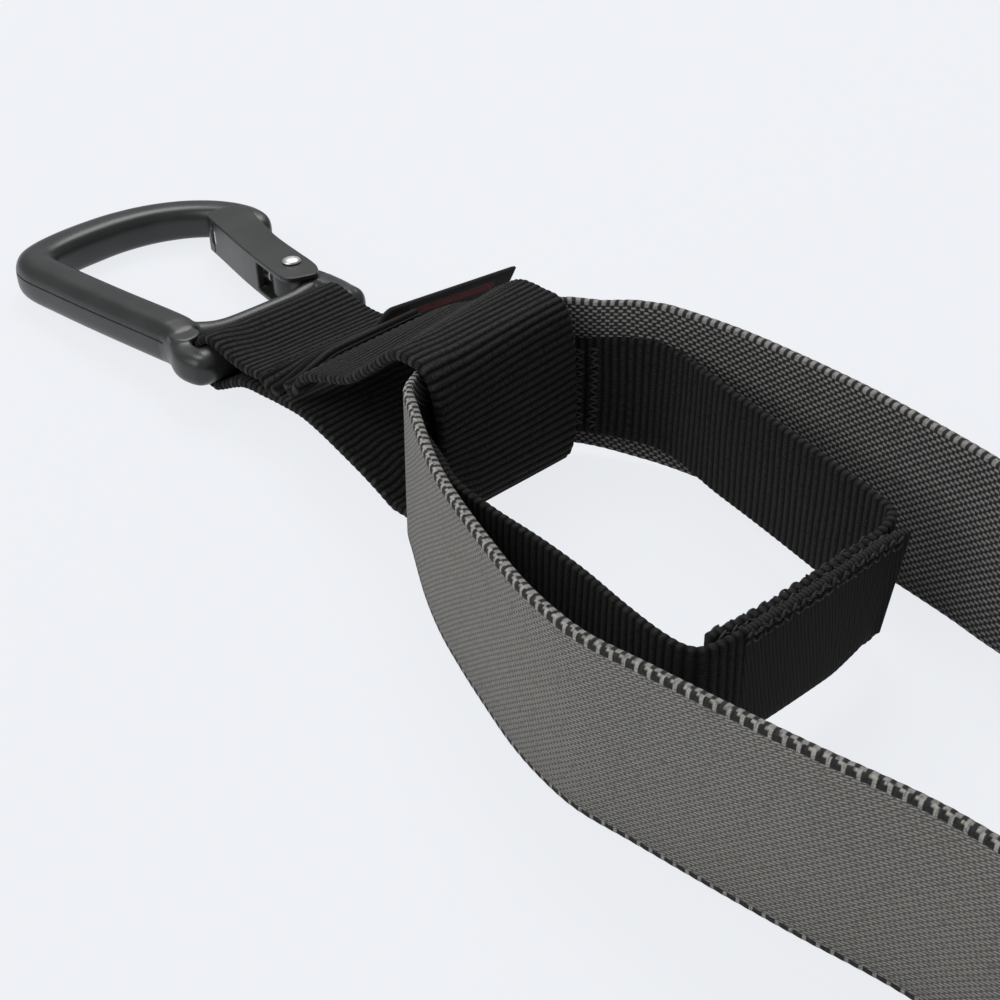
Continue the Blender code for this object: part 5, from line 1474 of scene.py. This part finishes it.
class Route:
    """A line in plan of straights and arcs; turns are counted outwards from the middle."""

    def __init__(self, x: float, outward: float, heading: float, side: int, height: float = 0.0):
        """Start at a place with a heading."""
        self.x, self.outward, self.heading = x, outward, heading
        self.side, self.height = side, height
        self.points: list[Vector] = []
        self.mark()

    def mark(self) -> None:
        """Note the present place."""
        self.points.append(Vector((self.x, self.side * self.outward, self.height)))

    def forward(self, length: float, rise: float = 0.0) -> None:
        """Go straight on."""
        self.x += length * math.cos(self.heading)
        self.outward += length * math.sin(self.heading)
        self.height += rise
        self.mark()

    def forward_to(self, outward: float, rise: float = 0.0) -> None:
        """Go straight on to a distance from the middle."""
        self.forward(abs(outward - self.outward), rise)

    def folds(self, count: int, radius: float, run: float) -> None:
        """Turn back and forth, with a straight run between the turns."""
        for fold in range(count):
            if fold:
                self.forward(run)
            self.turn(math.pi if fold % 2 else -math.pi, radius, 14)

    def turn(self, angle: float, radius: float, steps: int) -> None:
        """Turn on an arc; a positive angle is anticlockwise seen from above on the far side."""
        way = 1 if angle > 0 else -1
        centre_x = self.x - way * radius * math.sin(self.heading)
        centre_outward = self.outward + way * radius * math.cos(self.heading)
        start = self.heading
        for step in range(1, steps + 1):
            self.heading = start + angle * step / steps
            self.x = centre_x + way * radius * math.sin(self.heading)
            self.outward = centre_outward - way * radius * math.cos(self.heading)
            self.mark()


@dataclass
class Straps:
    """Main strap with its hanks, locking loop and the handles' own straps."""

    width: float = 38.0 * MM
    thick: float = 2.0 * MM
    gap: float = 0.3 * MM
    lift: float = 2.5 * MM
    leg_length: float = 175.0 * MM
    leg_spread: float = 38.0 * MM
    lock_length: float = 98.8 * MM
    lock_spread: float = 34.0 * MM
    lock_width: float = 25.0 * MM
    lock_thick: float = 1.8 * MM
    lock_raise: float = 6.5 * MM
    lock_seam: float = 16.0 * MM
    lock_lap: float = 42.0 * MM
    lock_boxes: tuple = (-26.2 * MM, -22.8 * MM, 22.8 * MM, 26.2 * MM)
    lock_edge_seams: tuple = (0.9 * MM, 2.5 * MM)
    lock_slant: tuple = (-4.0 * MM, 24 * MM, 24 * MM)
    lock_leans: tuple = ((1.3 * MM, 75 * MM, 20 * MM), (2.6 * MM, 18 * MM, 18 * MM))
    lock_first_lean: tuple = (1.6 * MM, 45 * MM, 10 * MM)
    lead: float = 7.0 * MM
    entry: float = 12.0 * MM
    inner: float = 20.0 * MM
    outer: float = 143.0 * MM
    fold: float = 4.5 * MM
    buckle_fold: float = 12.0 * MM
    take_up_fold: float = 5.0 * MM
    main_folds: int = 4
    take_up_folds: int = 5
    buckle_lift: float = 4.8 * MM
    buckle_place: float = 65.5 * MM
    bar: float = 2.4 * MM
    bar_place: float = 22.5 * MM
    bar_height: float = 8.0 * MM
    sewn_return: float = 18.0 * MM
    sleeve_length: float = 20.0 * MM
    sleeve_wall: float = 1.6 * MM
    sleeve_place: float = 128.0 * MM
    sleeve_slack: float = 0.5 * MM
    sleeve_bend: float = 1.2 * MM
    flap_half: float = 13.0 * MM
    flap_off: float = 0.8 * MM
    return_lean: float = math.radians(16.0)
    buckle_lean: float = math.radians(20.0)
    lever: float = 30.0 * MM
    joint: float = 28.0 * MM
    handle_place: float = 100.0 * MM
    near_leg: tuple = (
        (0.008, -0.27, 1.0), (0.018, -0.46, 1.0), (0.050, -0.635, 1.0), (0.097, -0.758, 0.7),
        (0.160, -0.910, 0.35), (0.217, -1.024, 0.15), (0.274, -1.113, 0.05), (0.331, -1.192, 0.0),
        (0.400, -1.280, 0.0), (0.457, -1.324, 0.0), (0.509, -1.332, 0.0), (0.571, -1.284, 0.0),
        (0.657, -1.218, 0.0), (0.743, -1.145, 0.0), (0.857, -1.040, 0.0), (1.0, -1.0, 0.0),
    )
    far_leg: tuple = (
        (0.004, 0.25, 1.0), (0.009, 0.42, 1.0), (0.023, 0.560, 1.0), (0.052, 0.680, 0.8),
        (0.094, 0.795, 0.5), (0.141, 0.895, 0.25), (0.211, 0.980, 0.1), (0.286, 1.024, 0.0),
        (0.377, 1.042, 0.0), (0.457, 1.034, 0.0), (0.543, 1.008, 0.0), (0.629, 0.968, 0.0),
        (0.800, 0.962, 0.0), (1.0, 1.0, 0.0),
    )
    lock_far: tuple = (
        (0.968, -0.890), (0.976, -0.560), (0.972, -0.200), (0.966, 0.150), (0.958, 0.400),
        (0.935, 0.560), (0.880, 0.618), (0.795, 0.660), (0.680, 0.715), (0.555, 0.770),
        (0.440, 0.815), (0.360, 0.860), (0.285, 0.895), (0.215, 0.872),
    )
    lock_near: tuple = (
        (0.235, -0.830), (0.330, -0.935), (0.450, -0.965), (0.580, -0.965), (0.700, -0.985),
        (0.820, -1.030), (0.920, -1.050), (0.975, -1.020), (0.994, -0.900), (0.996, -0.560),
        (0.992, -0.200), (0.986, 0.150), (0.984, 0.360), (0.990, 0.490),
    )

    def leg(self, shares: tuple, steps: int) -> list[Vector]:
        """Lower edge of one leg from the bend."""
        points = [(x * self.leg_length, y * self.leg_spread, z * self.lift) for x, y, z in shares]
        return smooth_line([(0.0, 0.0, self.lift), *points], steps)

    def column(self) -> float:
        """X of the main strap's last run, which leads into the buckle."""
        return (self.leg_length + self.lead + self.entry + 2 * self.main_folds * self.fold
                + 2 * self.buckle_fold)

    def strap_to_base(self) -> float:
        """Distance from that run to the upper side of the buckle's base plate."""
        return self.bar_height + self.bar + self.gap + self.thick / 2

    def main_hank(self, side: int) -> list[Vector]:
        """Folded main strap of one side, round the buckle's rear bar and back."""
        rear = self.bar + self.gap + self.thick / 2
        route = Route(self.leg_length, self.leg_spread, 0.0, side)
        route.forward(self.lead)
        route.turn(math.pi / 2, self.entry, 10)
        route.forward_to(self.outer)
        route.folds(self.main_folds, self.fold, self.outer - self.inner)
        route.forward(self.outer - self.inner)
        route.points[-1].z = self.buckle_lift / 2
        route.height = self.buckle_lift / 2
        route.turn(-math.pi, self.buckle_fold, 16)
        route.forward_to(self.sleeve_place + self.sleeve_length / 2, self.buckle_lift / 2)
        route.forward_to(self.buckle_place + self.bar_place)
        lean = self.return_lean
        route.turn(math.pi + lean, rear, 16)
        drop = 2 * rear - self.thick - self.gap
        route.forward(drop / math.sin(lean) - rear * math.tan(lean / 2))
        route.turn(-lean, rear, 4)
        route.forward(self.sewn_return - drop / math.tan(lean))
        return route.points

    def take_up(self, side: int) -> list[Vector]:
        """The handle's own strap from the sleeve through the buckle to the handle."""
        beside = self.thick + self.sleeve_slack + self.sleeve_wall + self.gap
        under = self.strap_to_base() - self.thick / 2 - self.gap
        start = self.sleeve_place + self.sleeve_length / 2
        route = Route(self.column() + beside, start, -math.pi / 2, side, self.buckle_lift)
        route.forward(self.sleeve_length)
        lean = self.buckle_lean
        route.turn(lean, self.fold, 4)
        route.forward((under - beside - 2 * self.fold * (1 - math.cos(lean))) / math.sin(lean))
        route.turn(-lean, self.fold, 4)
        route.forward_to(self.buckle_place - self.lever)
        route.forward_to(self.inner, -self.buckle_lift)
        route.turn(math.pi, self.take_up_fold, 14)
        route.forward(self.outer - self.inner)
        route.folds(self.take_up_folds, self.fold, self.outer - self.inner)
        route.forward_to(self.handle_place + self.entry)
        route.turn(math.pi / 2, self.entry, 10)
        route.forward(self.joint)
        return route.points

    @staticmethod
    def on_edge(points: list[Vector], width: float) -> list[Vector]:
        """Centre points of webbing that stands on its edge."""
        return [Vector((p.x, p.y, p.z + width / 2)) for p in points]

    def main_line(self, steps: int) -> list[Vector]:
        """Lower edge of the whole main strap."""
        near = self.leg(self.near_leg, steps) + self.main_hank(-1)[1:]
        far = self.leg(self.far_leg, steps) + self.main_hank(1)[1:]
        return list(reversed(near)) + far[1:]

    def seam_line(self) -> list[Vector]:
        """Locking loop where it is sewn inside the bend."""
        near, far = self.leg(self.near_leg, 2), self.leg(self.far_leg, 2)
        strap = list(reversed(near)) + far[1:]
        inset = self.thick / 2 + self.gap + self.lock_thick / 2
        points = []
        for before, here, after in zip(strap, strap[1:], strap[2:]):
            if here.x < self.lock_seam:
                way = (after - before).normalized()
                points.append(Vector((here.x + inset * way.y, here.y - inset * way.x,
                                      self.lock_raise)))
        return points

    def locking(self) -> tuple[Strip, float]:
        """The locking loop and the distance along it to the seam's middle."""
        far, near = (
            [Vector((x * self.lock_length, y * self.lock_spread, self.lock_raise))
             for x, y in shares] for shares in (self.lock_far, self.lock_near))
        line = smooth_line(far + list(reversed(self.seam_line())) + near, 5)
        half = Vector((0, 0, self.lock_width / 2))
        strip = Strip("locking_webbing", self.on_edge(line, self.lock_width), half,
                      self.lock_thick, rib_depth=0.18 * MM, step=0.26 * MM, columns=10,
                      waver=0.25 * MM, sag=Sag(), leaning=True, seed=9)
        strip.shape = lambda length, share: self.lock_shape(length, share, strip.total)
        lowest = min(range(len(strip.spots)), key=lambda i: strip.spots[i].x)
        return strip, strip.lengths[lowest]

    def lock_shape(self, length: float, share: float, total: float) -> Vector:
        """How the locking loop's lower edge is pushed along and sideways towards its ends.

        Args:
            length: Distance along the loop.
            share: Share of its half width, -1 at the lower edge.
            total: The loop's whole length.

        Returns:
            The push along the loop and across its face.
        """
        along, *sideways = (
            amount * ease((length - total + back) / fade)
            for amount, back, fade in (self.lock_slant, *self.lock_leans)
        )
        amount, reach, fade = self.lock_first_lean
        first = amount * ease((reach - length) / fade)
        return (1 - share) / 2 * Vector((along, sideways[0] + sideways[1] + first, 0.0))

    def build(self) -> None:
        """All the straps, their stitches and the sleeves."""
        half = Vector((0, 0, self.width / 2))
        line = self.on_edge(self.main_line(6), self.width)
        main = Strip("main_webbing", line, half, self.thick, rib_pitch=2.4 * MM,
                     rib_depth=0.0, step=0.6 * MM, sag=Sag(), leaning=True)
        main.lay(GREY, "main_strap", slot="grey_webbing")
        strip, middle = self.locking()
        lap = self.lock_lap
        strip.fine_from = strip.total - lap
        loop = strip.lay(RIBBED, "locking_loop")
        loop.data.materials.append(FINE.material())
        sewn = Stitching("locking_stitches", 0.30 * MM)
        high = self.lock_width / 2
        for box in self.lock_boxes:
            for face in (1, -1):
                sewn.run(strip, (middle + box, -high + 2 * MM), (middle + box, high - 2 * MM), face,
                         pitch=0.95 * MM, zigzag=1.1 * MM, loose=0.35 * MM)
        for back in self.lock_edge_seams:
            for face in (1, -1):
                for start in (1.5 * MM, strip.total - lap):
                    sewn.run(strip, (start, high - back), (start + lap - 1.5 * MM, high - back),
                             face, pitch=1.3 * MM, zigzag=0.6 * MM, loose=0.35 * MM)
        sewn.lay()
        for side in Side:
            line = self.on_edge(self.take_up(side.value), self.width)
            strap = Strip("handle_strap_webbing_" + side.word, line, half, self.thick,
                          rib_depth=0.16 * MM, step=0.6 * MM, columns=6)
            strap.lay(RIBBED, "handle_strap_" + side.word)
            self.sleeve(side)

    def sleeve(self, side: Side) -> None:
        """Sliding sleeve with a sewn pull flap."""
        inner = self.thick / 2 + self.sleeve_slack
        outer = inner + self.sleeve_wall
        tall = self.width / 2 + self.sleeve_slack + self.sleeve_wall
        middle = self.buckle_lift + self.width / 2
        x, y = self.column(), side.value * self.sleeve_place
        ring = []
        reach, rise = outer - self.sleeve_wall / 2, tall - self.sleeve_wall / 2
        bend = self.sleeve_bend
        for cx, cz, start in ((reach, rise, 0), (-reach, rise, 1), (-reach, -rise, 2),
                              (reach, -rise, 3)):
            sign_x, sign_z = (1 if cx > 0 else -1), (1 if cz > 0 else -1)
            for px, pz in arc((cx - sign_x * bend, cz - sign_z * bend), bend,
                              start * math.pi / 2, (start + 1) * math.pi / 2, 5):
                ring.append(Vector((x + px, y, middle + pz)))
        ring.append(ring[0])
        half = Vector((0, self.sleeve_length / 2, 0))
        strip = Strip("adjust_sleeve_" + side.word, ring, half, self.sleeve_wall,
                      rib_depth=0.14 * MM, step=0.4 * MM, columns=6)
        strip.lay(RIBBED, "adjust_tab_" + side.word)
        flat = self.flap_half
        face = x - outer - self.flap_off
        line = [Vector((face, y, middle - flat)), Vector((face, y, middle + flat))]
        flap = Strip("adjust_flap_" + side.word, line, half, self.sleeve_wall,
                     rib_depth=0.14 * MM, step=0.4 * MM, columns=6)
        flap.lay(RIBBED)
        sewn = Stitching("adjust_stitches_" + side.word)
        edge = self.sleeve_length / 2 - 2 * MM
        shown = 1 if flap.at(flap.total / 2, 0, 1)[1].x < 0 else -1
        for start, end in ((-edge, -edge), (edge, edge), (-edge, edge), (edge, -edge)):
            sewn.run(flap, (2 * MM, start), (2 * flat - 2 * MM, end), shown, 2.0 * MM)
        sewn.lay()


# ---------------------------------------------------------------------------------------------
# Buckles and handles


@dataclass
class Buckle:
    """Cam buckle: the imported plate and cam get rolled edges, pins and springs are finer."""

    straps: Straps
    inside: float = 39.6 * MM
    plate: float = 1.9 * MM
    pin: float = 2.4 * MM
    head: float = 3.6 * MM
    head_thick: float = 1.0 * MM
    axis_height: float = 11.2 * MM
    spring: float = 3.8 * MM
    wire: float = 0.45 * MM
    pocket: float = 6.0 * MM

    def matrix(self, side: Side) -> Matrix:
        """Buckle's axes: x in the direction of the load, y up from the base plate."""
        load, up = Vector((0, -side.value, 0)), Vector((-1, 0, 0))
        axes = Matrix((load, up, load.cross(up))).transposed().to_4x4()
        base = self.straps.column() + self.straps.strap_to_base()
        place = (base, side.value * self.straps.buckle_place,
                 self.straps.buckle_lift + self.straps.width / 2)
        return Matrix.Translation(place) @ axes

    def build(self, frame: dict, side: Side) -> None:
        """Dress one buckle."""
        word = side.word
        for node, width in (("buckle_body_", 0.5 * MM), ("cam_lever_", 0.25 * MM)):
            solid = frame["nodes"][node + word]
            edge = solid.modifiers.new("rolled_edge", "BEVEL")
            edge.width, edge.segments, edge.limit_method = width, 3, "ANGLE"
            edge.angle_limit = math.radians(40.0)
            edge.harden_normals = True
            solid.data.materials.clear()
            solid.data.materials.append(ANODISED.material())
        outside = self.inside / 2 + self.plate + 0.3 * MM
        end = outside + self.head_thick
        for name, node, x, y in (
            ("cam_axle_", "cam_pin_", 0.0, self.axis_height),
            ("rear_bar_", "buckle_bar_", -self.straps.bar_place, self.straps.bar_height),
        ):
            upper = rounded([(0, end), (self.head, end), (self.head, outside),
                             (self.pin, outside)], 0.35 * MM)
            profile = upper + [(radius, -height) for radius, height in reversed(upper)]
            piece = new_piece(name + word, turn(name + word, profile, 48), STEEL)
            piece.data.transform(self.matrix(side) @ Matrix.Translation((x, y, 0)))
            keep(piece, "webbing", "bright_steel", node + word)
        low = self.inside / 2 - self.pocket + self.wire
        high = self.inside / 2 - 0.4 * MM - self.wire
        line = coil(self.spring, low, high, 3, 32)
        name = "torsion_spring_" + word
        piece = new_piece(name, tube(name, line, [self.wire] * len(line), 12), STEEL)
        piece.data.transform(self.matrix(side) @ Matrix.Translation((0, self.axis_height, 0)))
        keep(piece, "webbing", "bright_steel", "cam_spring_" + word)


@dataclass
class Handle:
    """Webbing triangle, foot cradle, grip tube, foam and end caps."""

    straps: Straps
    width: float = 25.0 * MM
    thick: float = 1.8 * MM
    angle: float = math.radians(30.0)
    corner: float = 9.0 * MM
    margin: float = 7.0 * MM
    tube_length: float = 130.0 * MM
    tube_radius: float = 14.5 * MM
    tube_wall: float = 1.2 * MM
    foam: float = 18.5 * MM
    foam_edge: float = 3.0 * MM
    foam_waist: float = 0.35 * MM
    foam_steps: int = 40
    cap: float = 17.0 * MM
    flange: float = 3.0 * MM
    cap_sleeve: float = 6.0 * MM
    depth: float = 85.0 * MM
    cradle: float = 32.0 * MM
    seam: float = 36.0 * MM

    def beside(self) -> float:
        """Distance of the webbing's centre from the strap's at the joint."""
        return self.straps.thick / 2 + self.straps.gap + self.thick / 2

    def start(self) -> float:
        """X where the handle strap's sewn end stops."""
        strap = self.straps
        folds = 2 * strap.take_up_fold + 2 * strap.take_up_folds * strap.fold + strap.entry
        under = strap.strap_to_base() - strap.thick / 2 - strap.gap
        return strap.column() + under + folds + strap.joint

    def slant(self, outward: float) -> float:
        """Length of the slanting side from a distance out to the corner."""
        return self.reach(outward) / math.sin(self.angle)

    def reach(self, outward: float) -> float:
        """Distance outwards from a point to the start of the corner's arc."""
        half = self.tube_length / 2 + self.flange + self.margin
        return half + self.corner * math.sin(math.pi / 2 + self.angle) - outward

    def drop(self) -> float:
        """Distance from the sewn end of the strap to the grip's axis."""
        turned = math.pi / 2 + self.angle
        reach = self.reach(self.beside()) / math.tan(self.angle)
        return reach + self.corner * (1 - math.cos(turned)) + self.corner * math.tan(self.angle / 2)

    def triangle_half(self, sign: int) -> list[Vector]:
        """One half of the triangle in plan."""
        route = Route(-self.straps.joint, self.beside(), 0.0, sign)
        route.forward(self.straps.joint)
        route.turn(self.angle, self.corner, 6)
        route.forward(self.slant(route.outward))
        route.turn(-(math.pi / 2 + self.angle), self.corner, 18)
        route.forward_to(0.0)
        return route.points

    def cradle_half(self, sign: int) -> list[Vector]:
        """One half of the foot cradle in plan, from its seam."""
        guide = Route(0.0, self.beside(), 0.0, sign)
        guide.turn(self.angle, self.corner, 3)
        guide.forward(self.slant(guide.outward) - self.seam)
        step = self.thick + self.straps.gap
        route = Route(guide.x - step * math.sin(self.angle),
                      guide.outward + step * math.cos(self.angle), self.angle, sign)
        route.forward(self.seam)
        route.turn(-self.angle, self.corner + step, 8)
        route.forward(self.drop() + self.depth - self.cradle - route.x)
        route.turn(-math.pi / 2, self.cradle, 18)
        route.forward_to(0.0)
        return route.points

    def loop(self, name: str, half: Callable[[int], list[Vector]], side: Side) -> Strip:
        """A whole loop from its two halves, in place."""
        line = half(1) + list(reversed(half(-1)))[1:]
        start = Vector((self.start(), side.value * self.straps.handle_place,
                        self.foam - self.width / 2))
        line = self.straps.on_edge([point + start for point in line], self.width)
        return Strip(name, line, Vector((0, 0, self.width / 2)), self.thick,
                     rib_depth=0.24 * MM, step=0.36 * MM, columns=6, edge_pinch=0.2 * MM)

    def build(self, side: Side) -> None:
        """Build one handle."""
        word = side.word
        triangle = self.loop("handle_triangle_" + word, self.triangle_half, side)
        cradle = self.loop("foot_cradle_webbing_" + word, self.cradle_half, side)
        triangle.lay(RIBBED, "handle_webbing_" + word)
        cradle.lay(RIBBED, "foot_cradle_" + word)
        sewn = Stitching("handle_stitches_" + word)
        high = self.width / 2 - 2.5 * MM
        for strip, length in ((triangle, self.straps.joint), (cradle, self.seam)):
            for first, last in ((3 * MM, length - 3 * MM),
                                (strip.total - length + 3 * MM, strip.total - 3 * MM)):
                point, out = strip.at((first + last) / 2, 0, 1)
                centre = Vector((point.x, side.value * self.straps.handle_place, point.z))
                face = 1 if out.dot(point - centre) > 0 else -1
                for start, end in ((-high, -high), (high, high), (-high, high), (high, -high)):
                    sewn.run(strip, (first, start), (last, end), face, 2.6 * MM)
        sewn.lay()
        self.grip(side)

    def grip(self, side: Side) -> None:
        """Tube, foam and caps, turned about the grip's axis."""
        word, body = side.word, "grip_" + side.word
        centre = Vector((self.start() + self.drop(), side.value * self.straps.handle_place,
                         self.foam))
        axes = Matrix.Translation(centre) @ Matrix.Rotation(-math.pi / 2, 4, "X")
        end, bore = self.tube_length / 2, self.tube_radius - self.tube_wall
        ring = [(bore, end), (self.tube_radius, end), (self.tube_radius, -end), (bore, -end)]
        foam_end, inside = end - self.cap_sleeve - 0.3 * MM, self.tube_radius + 0.3 * MM
        skin = [(inside, foam_end)]
        for k in range(9):
            a = math.pi / 2 * k / 8
            skin.append((self.foam - self.foam_edge * (1 - math.sin(a)),
                         foam_end - self.foam_edge * (1 - math.cos(a))))
        for k in range(1, self.foam_steps):
            t = k / self.foam_steps
            height = (foam_end - self.foam_edge) * (1 - 2 * t)
            skin.append((self.foam - self.foam_waist * math.sin(math.pi * t) ** 2, height))
        skin += [(radius, -height) for radius, height in reversed(skin[:10])]
        rows = [("core_tube_", ring, TUBE_PLASTIC, "tube_plastic", "grip_tube_", 1),
                ("foam_sleeve_", skin, FOAM, "foam", "foam_grip_", 1)]
        cap_low, top = end - self.cap_sleeve, end + self.flange
        cap = [(bore + 1 * MM, top - 0.6 * MM)] + rounded(
            [(bore + 1.2 * MM, top), (self.cap * 0.95, top), (self.cap, top - 1.2 * MM),
             (self.cap, cap_low)], 0.8 * MM) + [
            (inside, cap_low), (inside, end + 0.3 * MM), (bore, end + 0.3 * MM),
            (bore, top - 1.6 * MM)]
        for place, way in (("inner", -side.value), ("outer", side.value)):
            rows.append(("end_cap_" + place + "_", cap, RUBBER, "rubber",
                         "grip_cap_" + place + "_", way))
        for name, profile, finish, slot, node, way in rows:
            mesh = turn(name + word, profile, 72)
            if way < 0:
                mesh.transform(Matrix.Rotation(math.pi, 4, "X"))
            mesh.transform(axes)
            piece = keep(new_piece(name + word, mesh, finish), body, slot, node + word)


# ---------------------------------------------------------------------------------------------
# Stage


@dataclass
class Studio:
    """Pale floor and backdrop, soft lamps and the camera."""

    pale: tuple = colour(0.862, 0.880, 0.915)
    lens: float = 64.8
    sensor: float = 36.0
    eye: tuple = (0.2483, -0.2019, 0.210)
    forward: tuple = (-0.6351, 0.5329, -0.5592)
    floor_size: float = 6.0
    floor_drop: float = 0.0002
    floor_glow: float = 0.91
    world_light: float = 0.38

    def floor(self) -> None:
        """A wide floor that shows the background's colour and keeps a soft shadow."""
        size = self.floor_size
        places = [(-size, -size, 0), (size, -size, 0), (size, size, 0), (-size, size, 0)]
        mesh = mesh_from("floor", places, [(0, 1, 2, 3)])
        floor = linked("floor", mesh)
        floor.location.z = -self.floor_drop
        material = bpy.data.materials.new("pale_floor")
        material.use_nodes = True
        tree = material.node_tree
        shader = Shader(tree)
        tree.nodes.remove(tree.nodes["Principled BSDF"])
        matt = shader.node("BsdfDiffuse", {"Color": self.pale})
        glow = shader.node("Emission", {"Color": self.pale, "Strength": 1.0})
        rays = shader.node("LightPath")
        seen = shader.math("MAXIMUM", rays.outputs["Is Camera Ray"], rays.outputs["Is Glossy Ray"])
        part = shader.math("MULTIPLY", seen, self.floor_glow)
        blend = shader.node("MixShader", {0: part, 1: matt.outputs[0], 2: glow.outputs[0]})
        shader.fill(tree.nodes["Material Output"], {0: blend.outputs[0]})
        mesh.materials.append(material)

    def world(self) -> None:
        """Plain pale surroundings, a little dimmer as a light."""
        world = bpy.data.worlds.new("studio")
        world.use_nodes = True
        bpy.context.scene.world = world
        tree = world.node_tree
        shader = Shader(tree)
        rays = shader.node("LightPath")
        level = shader.math("MULTIPLY_ADD", rays.outputs["Is Camera Ray"], 1 - self.world_light,
                            self.world_light)
        shader.fill(tree.nodes["Background"], {"Color": self.pale, "Strength": level})

    def lamp(self, name: str, place: tuple, target: tuple, size: float, power: float) -> None:
        """One square soft lamp aimed at a point."""
        light = bpy.data.lights.new(name, "AREA")
        light.size, light.energy = size, power
        self.aim(linked(name, light), place, Vector(target) - Vector(place))

    @staticmethod
    def aim(thing: bpy.types.Object, place: tuple, way: Vector) -> None:
        """Stand a lamp or camera at a place, looking along a direction."""
        thing.location = place
        thing.rotation_mode = "QUATERNION"
        thing.rotation_quaternion = way.to_track_quat("-Z", "Y")

    def camera(self) -> None:
        """The photograph's viewpoint."""
        data = bpy.data.cameras.new("camera")
        data.lens, data.sensor_width = self.lens, self.sensor
        data.clip_start, data.clip_end = 0.01, 50.0
        camera = linked("camera", data)
        self.aim(camera, self.eye, Vector(self.forward))
        bpy.context.scene.camera = camera

    def build(self) -> None:
        """Everything that isn't part of the trainer."""
        self.floor()
        self.world()
        self.lamp("key", (-0.75, 0.55, 1.35), (-0.05, 0.0, 0.02), 0.9, 15.0)
        self.lamp("fill", (-0.20, -1.15, 1.0), (0.03, 0.0, 0.02), 1.2, 11.0)
        self.camera()
        bpy.context.scene.view_settings.view_transform = "Standard"


def corners(bounds: tuple) -> list[list[float]]:
    """Bounds as plain lists."""
    return [list(corner) for corner in bounds]


def main() -> None:
    """Load the frame and dress it."""
    logging.basicConfig(level=logging.INFO)
    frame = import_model()
    Studio().build()
    Carabiner().build()
    AnchorLoop().build()
    straps = Straps()
    straps.build()
    for side in Side:
        Buckle(straps).build(frame, side)
        Handle(straps).build(side)
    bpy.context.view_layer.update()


if __name__ == "__main__":
    main()
